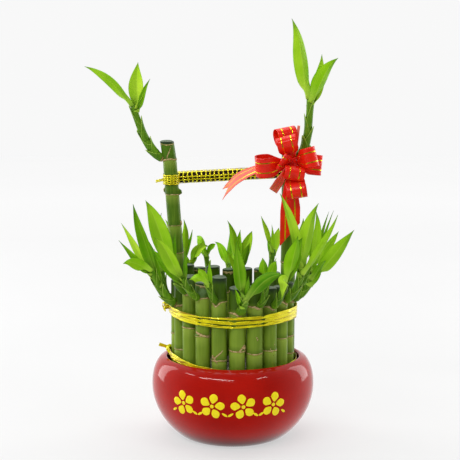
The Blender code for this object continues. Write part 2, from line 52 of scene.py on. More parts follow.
# Shoots, as the CAD part grows them, most with a small leaf or two more: stalk, growth ring, crown
# measured from the ring (right, back, up), stem radius, and leaves (tip measured from the crown, width,
# lift of the middle, twist in degrees, tone from 0, young and bright, to 1, old and dark).
SHOOTS = {
    "shoot_01": ("stalk_01", 120.0, (-13, -1, 26), 2.4, (
        ((-4, 12, 46), 6.5, 0, 20, 0.4), ((-22, -4, 38), 5, -3, -20, 0.7))),
    "shoot_02": ("stalk_02", 117.6, (-24, -12, 31), 3.4, (
        ((-23, -14, 8), 10, 4, 10, 0.45), ((-26, -5, 26), 6, -7, 50, 0.65), ((-25, 6, 39), 6.5, -3, -10, 0.0),
        ((-16, -4, 55), 10, 1, 15, 0.85), ((-11, 0, 38), 7.5, 2, -30, 0.7), ((1, 0, 17), 3.5, 0, 40, 0.8))),
    "shoot_03": ("stalk_03", 130.0, (-14, -20, 25), 2.8, (
        ((-19, -8, 55), 15.5, 4, -6, 0.35), ((3, -1, 27), 3.5, 0, 40, 0.8), ((-17, 4, 14), 6, -2, 20, 0.75))),
    "shoot_04": ("stalk_04", 126.6, (-16, -20, 20), 2.8, (
        ((-20, -16, 36), 12, 5, -14, 0.3), ((3, -2, 22), 3.5, 0, 30, 0.9), ((-25, -4, 22), 6, -4, 25, 0.8))),
    "shoot_05": ("stalk_05", 125.3, (-9, -18, 18), 2.6, (
        ((-14, -12, 4), 7.5, 5, 10, 0.4), ((-7, -6, 13), 7.5, 2, -10, 0.35), ((1, 0, 17), 4, 0, 30, 0.5))),
    "shoot_06": ("stalk_06", 116.5, (6, -17, 16), 3.4, (
        ((-8, -10, 45), 11, 0, 12, 0.8), ((30, -20, 21), 11, 7, -8, 1.0), ((3, -4, 17), 5, 0, 30, 0.9),
        ((-8, -3, 7), 3.5, 0, 20, 0.45))),
    "shoot_07": ("stalk_07", 121.4, (10, -14, 25), 2.6, (
        ((-4, -4, 17), 7.5, 0, 12, 0.5), ((7, -9, 15), 7.5, 3, -12, 0.6))),
    "shoot_08": ("stalk_08", 119.0, (12, -20, 26), 2.8, (
        ((10, -12, 37), 12, 0, 0, 0.5), ((-3, -18, -14), 9, 14, 0, 0.15), ((13, 3, 34), 12, 5, 10, 0.8))),
    "shoot_09": ("stalk_09", 122.0, (18, -14, 31), 3.2, (
        ((-21, -22, 62), 8.5, 3, 8, 0.12), ((8, -12, 54), 12.5, 0, 0, 0.3),
        ((27, -26, 45), 6.5, -6, -20, 0.35), ((-9, -8, 29), 4, 0, 30, 0.7), ((6, 8, 42), 6, 3, 20, 0.1))),
    "shoot_10": ("stalk_10", 119.8, (23, -7, 25), 3.2, (
        ((3, 0, 52), 9, 0, -14, 0.35), ((32, -8, 37), 13.5, -4, 8, 0.4), ((8, -13, 12), 6.5, 2, 20, 0.75),
        ((15, 4, 52), 3.5, 0, 30, 0.85), ((6, -6, 2), 4, 1, 0, 0.6))),
    "shoot_11": ("stalk_11", 119.0, (28, 9, 27), 2.8, (
        ((12, 4, 45), 4, 0, 20, 0.8), ((24, 18, 24), 8.5, 4, -20, 0.4), ((4, 12, 33), 7.5, 2, 10, 0.6))),
    "shoot_12": ("stalk_12", 120.0, (22, 20, 24), 2.8, (
        ((7, 4, 38), 8.5, 0, 20, 0.4), ((20, 18, 22), 9, 4, -10, 0.5), ((-4, 16, 26), 6.5, 2, 10, 0.7))),
    "shoot_13": ("stalk_13", 119.0, (12, 20, 34), 2.8, (
        ((-12, 2, 30), 5, 2, 0, 0.2), ((-1, 4, 22), 5, 0, 30, 0.35), ((6, 16, 18), 7.5, 3, -20, 0.25),
        ((-5, 12, 12), 6, 3, 10, 0.55))),
    "shoot_14": ("stalk_14", 118.0, (-6, -11, 26), 2.6, (
        ((-8, -2, 39), 7.5, 0, 10, 0.45), ((1, 10, 29), 7.5, 0, -10, 0.3), ((13, 12, 27), 10, 6, 0, 0.2),
        ((10, -7, 19), 6.5, 2, 20, 0.75), ((-11, -3, 12), 4, 1, 0, 0.4))),
    "shoot_15": ("stalk_15", 117.0, (0, 22, 22), 2.6, (
        ((13, 22, 8), 8.5, 6, 0, 0.3), ((-12, 18, 18), 7.5, 4, 10, 0.5), ((1, 10, 26), 6.5, 0, -20, 0.7))),
    "shoot_16": ("stalk_16", 119.0, (-6, 17, 30), 2.4, (
        ((8, 4, 8), 6, 3, 10, 0.6), ((-4, 2, 15), 3.5, 0, 30, 0.3), ((-9, 22, 14), 7.5, 5, 0, 0.4))),
    "shoot_17": ("stalk_17", 120.0, (-9, 17, 22), 2.6, (
        ((17, 0, 14), 10, 8, 0, 0.1), ((-16, 16, 24), 7.5, 4, 10, 0.5), ((12, 2, 20), 3.5, 0, 20, 0.2))),
    "shoot_18": ("stalk_18", 122.0, (-5, 14, 29), 2.4, (
        ((-5, 2, 33), 6.5, 0, 10, 0.15), ((3, 0, 32), 6.5, 0, -20, 0.4), ((-16, 14, 30), 6.5, 4, 0, 0.35),
        ((10, 4, 22), 3.5, 0, 20, 0.5))),
    "tall_shoot_left": ("tall_stalk_left", 238.1, (-30.5, -3, 47), 3.5, (
        ((-40, -8, 30.5), 7.6, 9, 10, 0.4), ((4, 2, 35.5), 14, 0, 0, 0.0),
        ((13.5, -6, 22), 5, -4, 20, 0.75))),
    "tall_shoot_right": ("tall_stalk_right", 238.0, (17, -1, 53), 3.7, (
        ((-13.3, -8, 66), 12.5, 2, 0, 0.35), ((21, -10, 34), 13, 2, 0, 0.5),
        ((12, 10, 36), 11, 0, 20, 0.15))),
}
BUD_SWELL = (1.0, 1.12, 1.1, 1.0, 0.9, 0.82, 0.76)   # the stem's girth from the bud to the crown
GAP = 0.3

# Bow: way of each loop from the knot, way of the ribbon's width, length and belly, as in the CAD part.
BOW_LOOPS = {
    "bow_loop_left": ((-1.0, -0.25, -0.11), (0.0, -0.14, 1.0), 32.0, 15.0),
    "bow_loop_right_front": ((0.68, -0.62, 0.24), (-0.30, 0.12, 1.0), 25.0, 10.0),
    "bow_loop_right_back": ((1.0, 0.26, -0.12), (0.06, 0.1, 1.0), 26.0, 8.0),
    "bow_loop_top_outer": ((-0.25, 0.20, 1.0), (1.0, 0.28, 0.06), 30.5, 12.0),
    "bow_loop_top_inner": ((-0.30, -0.64, 1.0), (1.0, 0.05, 0.08), 26.5, 9.0),
    "bow_loop_bottom_inner": ((0.03, -1.0, -0.52), (1.0, 0.34, -0.04), 22.0, 9.0),
    "bow_loop_bottom_outer": ((0.13, -0.50, -1.0), (1.0, 0.05, 0.45), 32.0, 10.0),
}
SMALL_LOOP = ((-0.50, -0.86, 0.10), (0.62, 0.0, 0.78), 20.0, 3.2)
PULL_STRIP = ((1.8, 1.0, 5.6), (3.6, 2.0, 16.0), (5.4, 2.0, 31.0))     # measured from the knot
TAIL_ENDS = {"bow_tail_left": (-4.0, 8.0), "bow_tail_down": (-10.0, 0.0)}   # slant and depth of the fork
# Tails: route, widths at the knot and at the end, and way of the ribbon's width.
BOW_TAILS = {
    "bow_tail_left": (((45.4, -7.4, 235.0), (30.0, -2.0, 232.6), (18.0, -3.0, 229.8), (5.0, -6.0, 223.6),
                       (-4.0, -8.5, 215.5), (-9.0, -9.6, 209.5)), (5.0, 17.0), (0.1, 1.0, 0.55)),
    "bow_tail_down": (((50.4, -9.2, 230.7), (48.6, -11.0, 214.0), (48.4, -11.0, 195.0), (48.2, -10.6, 175.5)),
                      (7.0, 17.0), (1.0, 0.10, 0.0)),
    "bow_tail_short": (((46.8, -7.1, 232.6), (40.5, -5.2, 222.0), (34.0, -4.4, 212.0)),
                       (3.0, 7.5), (0.7, 0.0, -0.7)),
}


# ---------------------------------------------------------------- node trees

def rgb(code):
    """Linear colour of a hex code."""
    out = []
    for i in (0, 2, 4):
        c = int(code[i:i + 2], 16) / 255.0
        out.append(c / 12.92 if c <= 0.04045 else ((c + 0.055) / 1.055) ** 2.4)
    return (*out, 1.0)


class Tree:
    """A material's node tree with short calls for the nodes used here."""

    def __init__(self, name, roughness=0.4, metallic=0.0, specular=0.5, coat=0.0, coat_roughness=0.05):
        self.material = bpy.data.materials.new(name)
        self.material.use_nodes = True
        self.nodes = self.material.node_tree.nodes
        self.links = self.material.node_tree.links
        self.shader = self.nodes["Principled BSDF"]
        self.shader.inputs["Roughness"].default_value = roughness
        self.shader.inputs["Metallic"].default_value = metallic
        self.shader.inputs["Specular IOR Level"].default_value = specular
        self.shader.inputs["Coat Weight"].default_value = coat
        self.shader.inputs["Coat Roughness"].default_value = coat_roughness

    def put(self, socket, value):
        if hasattr(value, "links"):
            self.links.new(value, socket)
        else:
            socket.default_value = value

    def set(self, name, value):
        self.put(self.shader.inputs[name], value)

    def attribute(self, name):
        node = self.nodes.new("ShaderNodeAttribute")
        node.attribute_name = name
        return node.outputs["Fac"]

    def place(self, scale=(1.0, 1.0, 1.0)):
        coords = self.nodes.new("ShaderNodeTexCoord")
        mapping = self.nodes.new("ShaderNodeMapping")
        mapping.inputs["Scale"].default_value = scale
        self.links.new(coords.outputs["Object"], mapping.inputs["Vector"])
        return mapping.outputs["Vector"]

    def noise(self, scale, detail=3.0, stretch=(1.0, 1.0, 1.0), roughness=0.5):
        node = self.nodes.new("ShaderNodeTexNoise")
        node.inputs["Scale"].default_value = scale
        node.inputs["Detail"].default_value = detail
        node.inputs["Roughness"].default_value = roughness
        self.links.new(self.place(stretch), node.inputs["Vector"])
        return node.outputs["Fac"]

    def voronoi(self, scale, stretch=(1.0, 1.0, 1.0)):
        node = self.nodes.new("ShaderNodeTexVoronoi")
        node.inputs["Scale"].default_value = scale
        self.links.new(self.place(stretch), node.inputs["Vector"])
        return node.outputs["Distance"]

    def math(self, operation, a, b=0.0):
        node = self.nodes.new("ShaderNodeMath")
        node.operation = operation
        self.put(node.inputs[0], a)
        self.put(node.inputs[1], b)
        return node.outputs[0]

    def times(self, a, b):
        return self.math("MULTIPLY", a, b)

    def ramp(self, value, low, high, start=0.0, end=1.0, ease="LINEAR"):
        node = self.nodes.new("ShaderNodeMapRange")
        node.interpolation_type = ease
        self.put(node.inputs["Value"], value)
        node.inputs["From Min"].default_value = low
        node.inputs["From Max"].default_value = high
        node.inputs["To Min"].default_value = start
        node.inputs["To Max"].default_value = end
        return node.outputs["Result"]

    def mix(self, factor, a, b, blend="MIX"):
        node = self.nodes.new("ShaderNodeMix")
        node.data_type = "RGBA"
        node.blend_type = blend
        self.put(node.inputs[0], factor)
        self.put(node.inputs[6], a)
        self.put(node.inputs[7], b)
        return node.outputs[2]

    def blend(self, value, low, high, first, second):
        """From one hex code to another as the value goes from low to high."""
        return self.mix(self.ramp(value, low, high), rgb(first), rgb(second))

    def tint(self, colour, amount, share, code):
        """The colour, mixed towards a hex code by the amount times the share."""
        return self.mix(self.times(amount, share), colour, rgb(code))

    def bump(self, height, strength, distance=0.0005):
        node = self.nodes.new("ShaderNodeBump")
        node.inputs["Strength"].default_value = strength
        node.inputs["Distance"].default_value = distance
        self.links.new(height, node.inputs["Height"])
        self.links.new(node.outputs["Normal"], self.shader.inputs["Normal"])


def glaze_material():
    """Red glaze, freckled, with painted shade darkening it towards the foot."""
    t = Tree("red_glaze_fine", specular=0.22)
    tone = t.blend(t.noise(26.0, 4.0), 0.35, 0.7, "a3130a", "b8180d")
    freckle = t.ramp(t.voronoi(900.0), 0.0, 0.12, 1.0, 0.0)
    tone = t.tint(tone, freckle, 0.2, "5c0805")
    # Painted shade: the glaze turns to a near-black red towards the foot.
    t.set("Base Color", t.mix(t.attribute("pooled"), tone, rgb("36060a")))
    t.set("Roughness", t.ramp(t.noise(60.0, 3.0), 0.3, 0.7, 0.06, 0.12))
    t.bump(t.noise(120.0, 2.0), 0.03, 0.0004)
    return t.material


def paint_material():
    t = Tree("ornament_paint", roughness=0.4, specular=0.2)
    t.set("Base Color", t.blend(t.noise(400.0, 3.0), 0.3, 0.7, "fff01e", "fbe40e"))
    t.bump(t.noise(900.0, 3.0), 0.15, 0.0002)
    return t.material


def pebble_material():
    t = Tree("river_pebble", roughness=0.6, specular=0.25)
    # Pebble colours, partly their own grey-brown and partly painted shade: kept dark to stand for the shaded
    # gaps between the stalks.
    tone = t.blend(t.noise(45.0, 3.0), 0.35, 0.65, "6e675a", "3f3a30")
    t.set("Base Color", t.mix(t.ramp(t.noise(700.0, 3.0), 0.45, 0.75), tone, rgb("857e70")))
    t.bump(t.noise(900.0, 4.0), 0.3, 0.0003)
    return t.material


def stalk_material(name, low, mid, dark):
    """Bamboo skin: lengthwise fibres, tan scars at the rings, dark band above them, specks and bloom."""
    t = Tree(name, specular=0.18)
    tone = t.attribute("tone")
    fibre = t.noise(700.0, 3.0, (1.0, 1.0, 0.035))
    patch = t.noise(60.0, 3.0, (1.0, 1.0, 0.35))
    skin = t.mix(t.ramp(patch, 0.3, 0.7), rgb(low), rgb(mid))
    skin = t.tint(skin, t.ramp(fibre, 0.42, 0.68), 0.25, "9ab33c")
    skin = t.tint(skin, tone, 0.5, "4a6a14")
    skin = t.tint(skin, t.attribute("light"), 0.45, "a9bf4e")
    skin = t.mix(t.times(t.attribute("top"), 0.85), skin, rgb(dark))
    skin = t.tint(skin, t.attribute("shade"), 0.6, "34500c")
    bloom = t.times(t.attribute("bloom"), t.ramp(t.noise(130.0, 3.0), 0.35, 0.6))
    skin = t.mix(bloom, skin, rgb("6f8a58"))
    speck = t.times(t.ramp(t.voronoi(260.0, (1.0, 1.0, 0.6)), 0.05, 0.12, 1.0, 0.0),
                   t.ramp(t.noise(90.0, 2.0), 0.52, 0.62))
    skin = t.tint(skin, speck, 0.6, "3c4212")
    scar = t.math("ADD", t.attribute("scar"), t.ramp(t.noise(420.0, 3.0), 0.3, 0.7, -0.22, 0.22))
    rim = t.ramp(scar, 0.22, 0.5)
    scar = t.ramp(scar, 0.42, 0.6)
    skin = t.tint(skin, rim, 0.75, "4c4218")
    bark = t.blend(t.noise(600.0, 3.0, (1.0, 1.0, 3.0)), 0.4, 0.6, "cfb884", "947a48")
    skin = t.mix(t.attribute("wax"), t.mix(scar, skin, bark), rgb("2c3c26"))
    t.set("Base Color", skin)
    t.set("Roughness", t.ramp(scar, 0.0, 1.0, 0.42, 0.8))
    t.bump(t.math("ADD", t.times(fibre, 0.5), t.times(scar, 0.9)), 0.25, 0.0004)
    return t.material


def cut_material():
    t = Tree("waxed_cut", roughness=0.4, specular=0.3)
    t.set("Base Color", t.blend(t.noise(300.0, 4.0), 0.35, 0.65, "34482e", "5a6e50"))
    t.bump(t.noise(700.0, 3.0), 0.3, 0.0003)
    return t.material


def leaf_material():
    """Leaf: parallel veins, a faint midrib, paler base, deeper tip and edge, and painted shade on one half
    where the leaf is folded.
    """
    t = Tree("leaf_fine", roughness=0.42, specular=0.07)
    across = t.attribute("across")      # -1 and 1 at the edges
    along = t.attribute("along")        # 0 at the base, 1 at the tip
    tone = t.attribute("tone")          # 0 young and bright, 1 dark
    vein = t.ramp(t.math("SINE", t.times(across, 34.0)), -1.0, 1.0)
    streak = t.ramp(t.math("SINE", t.times(across, 7.3)), -1.0, 1.0)
    patch = t.ramp(t.noise(55.0, 3.0), 0.3, 0.7)
    young = t.mix(patch, rgb("d2f444"), rgb("b0e226"))
    grown = t.mix(patch, rgb("98d414"), rgb("7aba08"))
    old = t.mix(patch, rgb("5c9a0a"), rgb("3c7a06"))
    colour = t.mix(t.ramp(tone, 0.0, 0.5), young, grown)
    colour = t.mix(t.ramp(tone, 0.5, 1.0), colour, old)
    colour = t.tint(colour, vein, 0.14, "4f8a08")
    colour = t.tint(colour, streak, 0.12, "c4e83c")
    colour = t.mix(t.ramp(along, 0.0, 0.3, 0.45, 0.0), colour, rgb("bcd45a"))
    colour = t.mix(t.ramp(along, 0.8, 1.0, 0.0, 0.7), colour, rgb("3f7410"))
    # Painted shade: one half of some leaves is darker, as where a folded leaf's half turns from the light.
    half = t.times(t.ramp(across, -0.1, 0.1), t.ramp(t.noise(31.0, 1.0), 0.4, 0.6))
    colour = t.tint(colour, half, 0.35, "3c7c06")
    rib = t.ramp(t.math("ABSOLUTE", across), 0.02, 0.12, 0.22, 0.0)
    colour = t.mix(rib, colour, rgb("c4e458"))
    rim = t.ramp(t.math("ABSOLUTE", across), 0.93, 1.0, 0.0, 0.35)
    t.set("Base Color", t.mix(rim, colour, rgb("3f7a0c")))
    t.set("Roughness", t.ramp(patch, 0.0, 1.0, 0.36, 0.5))
    t.bump(t.math("ADD", vein, streak), 0.12, 0.0003)
    return t.material


def stem_material():
    """Stem and sheaths: ribbed, pale towards each sheath's edge, brown where it leaves the stalk."""
    t = Tree("sheath_green", roughness=0.45, specular=0.16)
    along = t.attribute("along")
    tone = t.attribute("tone")
    rib = t.noise(900.0, 2.0, (1.0, 1.0, 0.12))
    skin = t.blend(rib, 0.35, 0.7, "55850f", "78a61e")
    skin = t.tint(skin, tone, 0.75, "335e08")
    skin = t.mix(t.ramp(along, 0.9, 1.0, 0.0, 0.7), skin, rgb("b4d455"))
    ragged = t.math("ADD", along, t.ramp(t.noise(350.0, 2.0), 0.3, 0.7, -0.03, 0.03))
    skin = t.mix(t.ramp(ragged, 0.05, 0.09, 0.9, 0.0), skin, rgb("b0955c"))
    t.set("Base Color", skin)
    t.bump(rib, 0.3, 0.0004)
    return t.material


def foil_material():
    t = Tree("gold_foil_fine", roughness=0.26, metallic=1.0)
    crease = t.noise(300.0, 3.0, (0.4, 0.4, 3.0), 0.55)
    fold = t.ramp(t.noise(230.0, 2.0, (0.16, 0.16, 4.0)), 0.56, 0.62)
    # Painted shade in the creases: the gold deepens with crease and turns dark brown along each fold line.
    gold = t.blend(crease, 0.4, 0.7, "fff71a", "f4de00")
    t.set("Base Color", t.tint(gold, fold, 0.8, "8a5a04"))
    t.set("Metallic", t.ramp(crease, 0.3, 0.7, 0.1, 0.6))
    t.set("Roughness", t.ramp(crease, 0.3, 0.7, 0.14, 0.32))
    t.bump(crease, 0.3, 0.0005)
    return t.material


def bar_material():
    t = Tree("bar_wood", roughness=0.7, specular=0.15)
    grain = t.noise(220.0, 4.0, (0.06, 1.0, 1.0))
    t.set("Base Color", t.blend(grain, 0.35, 0.65, "140a06", "2e150c"))
    t.bump(grain, 0.4, 0.0005)
    return t.material


def ribbon_material(name, red, deep, pale, painted_backlight):
    """Ribbon: fine ribs, satin sheen and two gold threads woven in along its length; the last argument pales
    it towards its end, as painted light shining through the ribbon.
    """
    t = Tree(name, specular=0.3)
    across = t.attribute("across")
    along = t.attribute("along")
    rib = t.ramp(t.math("SINE", t.times(across, 70.0)), -1.0, 1.0)
    cloud = t.ramp(t.noise(110.0, 2.0), 0.3, 0.7)
    colour = t.mix(cloud, rgb(red), rgb(deep))
    colour = t.mix(t.times(rib, 0.08), colour, rgb(pale))
    # Painted light shining through the ribbon: paler towards its end.
    colour = t.mix(t.times(t.ramp(along, 0.0, 1.0), painted_backlight), colour, rgb(pale))
    side = t.math("ABSOLUTE", across)
    thread = t.ramp(t.math("ABSOLUTE", t.math("SUBTRACT", side, 0.48)), 0.035, 0.055, 1.0, 0.0)
    t.set("Base Color", t.mix(thread, colour, rgb("ffe81a")))
    t.set("Metallic", thread)
    t.set("Roughness", t.ramp(thread, 0.0, 1.0, 0.28, 0.16))
    t.bump(t.math("ADD", t.times(rib, 0.3), thread), 0.2, 0.0002)
    return t.material


def floor_material():
    """Pale floor, lit a little from below, more so far from the lamps."""
    t = Tree("studio_floor", roughness=0.9, specular=0.1)
    t.set("Base Color", t.blend(t.noise(3.0, 2.0), 0.3, 0.7, "969696", "939393"))
    t.shader.inputs["Emission Color"].default_value = (1.0, 1.0, 1.0, 1.0)
    reach = t.nodes.new("ShaderNodeVectorMath")
    reach.operation = "LENGTH"
    t.links.new(t.place(), reach.inputs[0])
    t.set("Emission Strength", t.ramp(reach.outputs["Value"], 0.3, 2.2, 0.55, 0.74, "SMOOTHSTEP"))
    return t.material


MATERIALS = {
    "glaze": glaze_material(),
    "paint": paint_material(),
    "pebble": pebble_material(),
    "stalk": stalk_material("stalk_fine", "68851f", "8aa732", "365609"),
    "tall_stalk": stalk_material("tall_stalk_fine", "3c6009", "557b16", "4a7212"),
    "cut": cut_material(),
    "leaf": leaf_material(),
    "stem": stem_material(),
    "foil": foil_material(),
    "bar": bar_material(),
    "ribbon": ribbon_material("ribbon_fine", "f4210e", "dc1808", "ff4a30", 0.0),
    # Paler copy of the ribbon for the thin tails and pull strip: painted light shining through them.
    "ribbon_backlit": ribbon_material("ribbon_lit", "ef3c28", "e8301e", "fb8a76", 0.8),
    "floor": floor_material(),
}


# ---------------------------------------------------------------- mesh helpers

class Shape:
    """Vertices, faces and per-vertex values of one piece, gathered from several surfaces."""

    def __init__(self):
        self.points = []
        self.faces = []
        self.kinds = []
        self.values = {}

    def vertex(self, point, **values):
        for key in values:
            self.values.setdefault(key, [0.0] * len(self.points))
        for key, stored in self.values.items():
            stored.append(values.get(key, 0.0))
        self.points.append(tuple(point))
        return len(self.points) - 1

    def face(self, corners, kind=0):
        self.faces.append(tuple(corners))
        self.kinds.append(kind)

    def grid(self, rows, wrap=False, kind=0):
        """Faces over rows of vertex numbers; wrap joins the last column to the first."""
        for low, high in zip(rows, rows[1:]):
            count = len(low)
            for i in range(count if wrap else count - 1):
                j = (i + 1) % count
                self.face((low[i], low[j], high[j], high[i]), kind)

    def build(self, name, materials, replaced=(), slot=None, solid=0.0, flat=False):
        """The object, riding on the body, standing for the CAD nodes named in replaced."""
        mesh = bpy.data.meshes.new(name)
        mesh.from_pydata([(x * MM, y * MM, z * MM) for x, y, z in self.points], [], self.faces)
        for key, stored in self.values.items():
            layer = mesh.attributes.new(key, "FLOAT", "POINT")
            layer.data.foreach_set("value", stored)
        for material in materials:
            mesh.materials.append(material)
        mesh.polygons.foreach_set("material_index", self.kinds)
        if not flat:
            mesh.shade_smooth()
            mesh.set_sharp_from_angle(angle=math.radians(50.0))
        mesh.validate()
        obj = bpy.data.objects.new(name, mesh)
        bpy.context.scene.collection.objects.link(obj)
        if solid:
            thick = obj.modifiers.new("thickness", "SOLIDIFY")
            thick.thickness = solid * MM
            thick.offset = 0.0
        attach(obj, "root")
        if replaced:
            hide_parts(*replaced)
        return obj


def smooth_step(t):
    t = max(0.0, min(1.0, t))
    return t * t * (3.0 - 2.0 * t)


def around(turns):
    """Angles of evenly spaced steps round a full turn."""
    return [2.0 * math.pi * i / turns for i in range(turns)]


def level(angle):
    """Level direction at an angle from the +X axis."""
    return Vector((math.cos(angle), math.sin(angle), 0.0))


def from_front(angle):
    """Level direction at an angle from the front to the right."""
    return Vector((math.sin(angle), -math.cos(angle), 0.0))


def bezier(start, middle, end, steps):
    out = []
    for i in range(steps + 1):
        t = i / steps
        out.append(start * (1.0 - t) ** 2 + middle * (2.0 * t * (1.0 - t)) + end * t ** 2)
    return out


def smooth_path(points, steps):
    """Catmull-Rom curve through the points, with steps spans between each pair."""
    ends = [points[0] * 2.0 - points[1]] + list(points) + [points[-1] * 2.0 - points[-2]]
    out = []
    for a, b, c, d in zip(ends, ends[1:], ends[2:], ends[3:]):
        for i in range(steps):
            t = i / steps
            out.append(0.5 * (b * 2.0 + (c - a) * t + (a * 2.0 - b * 5.0 + c * 4.0 - d) * t ** 2
                              + (b * 3.0 - a - c * 3.0 + d) * t ** 3))
    out.append(points[-1].copy())
    return out


def frames(points):
    """Point, tangent and two side vectors along a path, turning as little as possible."""
    out = []
    side = None
    for i, point in enumerate(points):
        tangent = (points[min(i + 1, len(points) - 1)] - points[max(i - 1, 0)]).normalized()
        if side is None:
            side = tangent.orthogonal().normalized()
        side = (side - tangent * side.dot(tangent)).normalized()
        out.append((point, tangent, side, tangent.cross(side)))
    return out


def lerp_table(table, t):
    """Value of an evenly spaced table at t from 0 to 1."""
    place = min(t, 0.9999) * (len(table) - 1)
    low = int(place)
    return table[low] + (table[low + 1] - table[low]) * (place - low)


def add_ball(shape, rings, turns, place, middle, height, **values):
    """Closed ball: place puts each direction in space, and height is how far its two tips reach."""
    rows = []
    for j in range(1, rings):
        polar = math.pi * j / rings
        row = []
        for angle in around(turns):
            way = level(angle) * math.sin(polar) + UP * math.cos(polar)
            row.append(shape.vertex(place(way, angle), **values))
        rows.append(row)
    shape.grid(rows, wrap=True)
    for row, pole in ((rows[0], 1.0), (rows[-1], -1.0)):
        end = shape.vertex(middle + UP * (height * pole), **values)
        for i in range(turns):
            shape.face((row[i], row[(i + 1) % turns], end))


def centre_line(node):
    """Centre, radius and height of each ring of vertices of a CAD stalk, from its foot up, in mm."""
    levels = {}
    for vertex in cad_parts[node].data.vertices:
        levels.setdefault(round(vertex.co.z * 10000.0), []).append(vertex.co / MM)
    line = []
    for key in sorted(levels):
        group = levels[key]
        centre = sum(group, Vector()) / len(group)
        radius = sum((p - centre).length for p in group) / len(group)
        line.append((centre, radius))
    return line


def on_line(line, z):
    """Centre and radius of a stalk at a height."""
    for (low, low_radius), (high, high_radius) in zip(line, line[1:]):
        if z <= high.z:
            share = (z - low.z) / (high.z - low.z)
            return low.lerp(high, share), low_radius + (high_radius - low_radius) * share
    return line[-1][0].copy(), line[-1][1]


def box_mm(node):
    low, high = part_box(node)
    return Vector(low) / MM, Vector(high) / MM


# ---------------------------------------------------------------- pot and pebbles

POT_LOW, POT_HIGH = box_mm("pot")
POT_RADIUS = (POT_HIGH.x - POT_LOW.x) / 2.0
POT_HEIGHT = POT_HIGH.z
WIDEST_Z = 46.0
LOWER_ARC = 59.0
SHOULDER = 58.0
WALL = 4.5
MOUTH = 56.8
FOOT_SHADE_HEIGHT = 17.0            # how far up the painted shade darkens the glaze
LIP = 1.5                     # radius of the rounded rim
PAINT = 0.12                  # thickness of the paint at its edge
PAINT_DOME = 0.25             # how much thicker a stroke is in its middle
PAINT_SINK = 0.3              # how far its edge dips under the glaze


def pot_radius(z):
    if z <= WIDEST_Z:
        return POT_RADIUS * math.sqrt(1.0 - ((WIDEST_Z - z) / LOWER_ARC) ** 2)
    rise = (z - WIDEST_Z) / (POT_HEIGHT - WIDEST_Z)
    return SHOULDER + (POT_RADIUS - SHOULDER) * math.sqrt(max(0.0, 1.0 - rise * rise))


def make_pot():
    foot = pot_radius(0.0)
    profile = [(0.0, 1.0), (36.0, 1.0), (38.0, 0.0), (foot - 1.6, 0.0), (foot - 0.3, 0.5)]
    profile += [(pot_radius(z), z) for z in (2.0, 5.0, 9.0, 14.0, 20.0, 27.0, 34.0, 40.0, 46.0, 52.0, 57.0)]
    profile += [(pot_radius(z), z) for z in (59.5, 62.5, 65.0, 66.8, 68.2)]
    centre = Vector((MOUTH + 1.6, POT_HEIGHT - LIP))
    for turn in range(8):
        angle = math.radians(55.0 + turn * 20.0)
        profile.append((centre.x + LIP * math.cos(angle), centre.y + LIP * math.sin(angle)))
    profile += [(pot_radius(z) - WALL, z) for z in (64.0, 58.0, 52.0, WIDEST_Z, 38.0, 30.0, 22.0, 16.0)]
    profile += [(42.0, 8.2), (38.0, 7.5), (0.0, 7.5)]
    shape = Shape()
    turns = 144
    rows = []
    for radius, z in profile:
        radius = max(radius, 0.02)
        # Painted shade, strongest at the foot and gone at the height above.
        pooled = 0.95 * (1.0 - smooth_step(z / FOOT_SHADE_HEIGHT))
        rows.append([shape.vertex(level(angle) * radius + UP * z, pooled=pooled) for angle in around(turns)])
    shape.grid(rows, wrap=True)
    shape.face(tuple(reversed(rows[0])))
    shape.face(tuple(rows[-1]))
    shape.build("glazed_pot", [MATERIALS["glaze"]], ["pot"], "red_glaze")


def on_pot(across, z, proud):
    """Point on the front of the pot: across is the arc length to the right of the middle."""
    angle = across / POT_RADIUS
    radius = pot_radius(z) + proud
    return Vector((radius * math.sin(angle), -radius * math.cos(angle), z))


def painted_disc(shape, across, z, long, wide, way, point=0.0):
    """Small oval of paint on the pot, its long axis turned by way; point narrows its inner end."""
    rings = 5
    turns = 20
    middle = shape.vertex(on_pot(across, z, PAINT + PAINT_DOME))
    rows = []
    for k in range(1, rings + 1):
        share = k / rings
        proud = PAINT + PAINT_DOME * (1.0 - share ** 4) - (PAINT_SINK if k == rings else 0.0)
        row = []
        for angle in around(turns):
            u = math.cos(angle) * long * share
            v = math.sin(angle) * wide * share * (1.0 - point * max(0.0, -math.cos(angle)))
            x = across + u * math.cos(way) - v * math.sin(way)
            y = z + u * math.sin(way) + v * math.cos(way)
            row.append(shape.vertex(on_pot(x, y, proud)))
        rows.append(row)
    for i in range(turns):
        shape.face((middle, rows[0][i], rows[0][(i + 1) % turns]))
    shape.grid(rows, wrap=True)


def make_ornament():
    """Four plum blossoms with a pair of leaves, painted in a row on the front of the pot."""
    shape = Shape()
    for k, across in enumerate((-43.5, -17.5, 8.5, 34.5)):
        z = 42.0
        tilt = math.radians(90.0 + 12.0 * (-1) ** k)
        for petal in range(5):
            way = tilt + 2.0 * math.pi * petal / 5.0
            painted_disc(shape, across + 6.6 * math.cos(way), z + 6.6 * math.sin(way), 4.3, 3.7, way,
                         point=0.45)
        painted_disc(shape, across, z, 1.7, 1.7, 0.0)
        for side in (-1.0, 1.0):
            way = math.radians(-90.0) + side * math.radians(58.0)
            painted_disc(shape, across + 12.4 * math.cos(way), z - 1.0 + 11.2 * math.sin(way), 2.8, 1.1, way,
                         point=0.2)
    shape.build("pot_ornament", [MATERIALS["paint"]], slot="gold_foil")


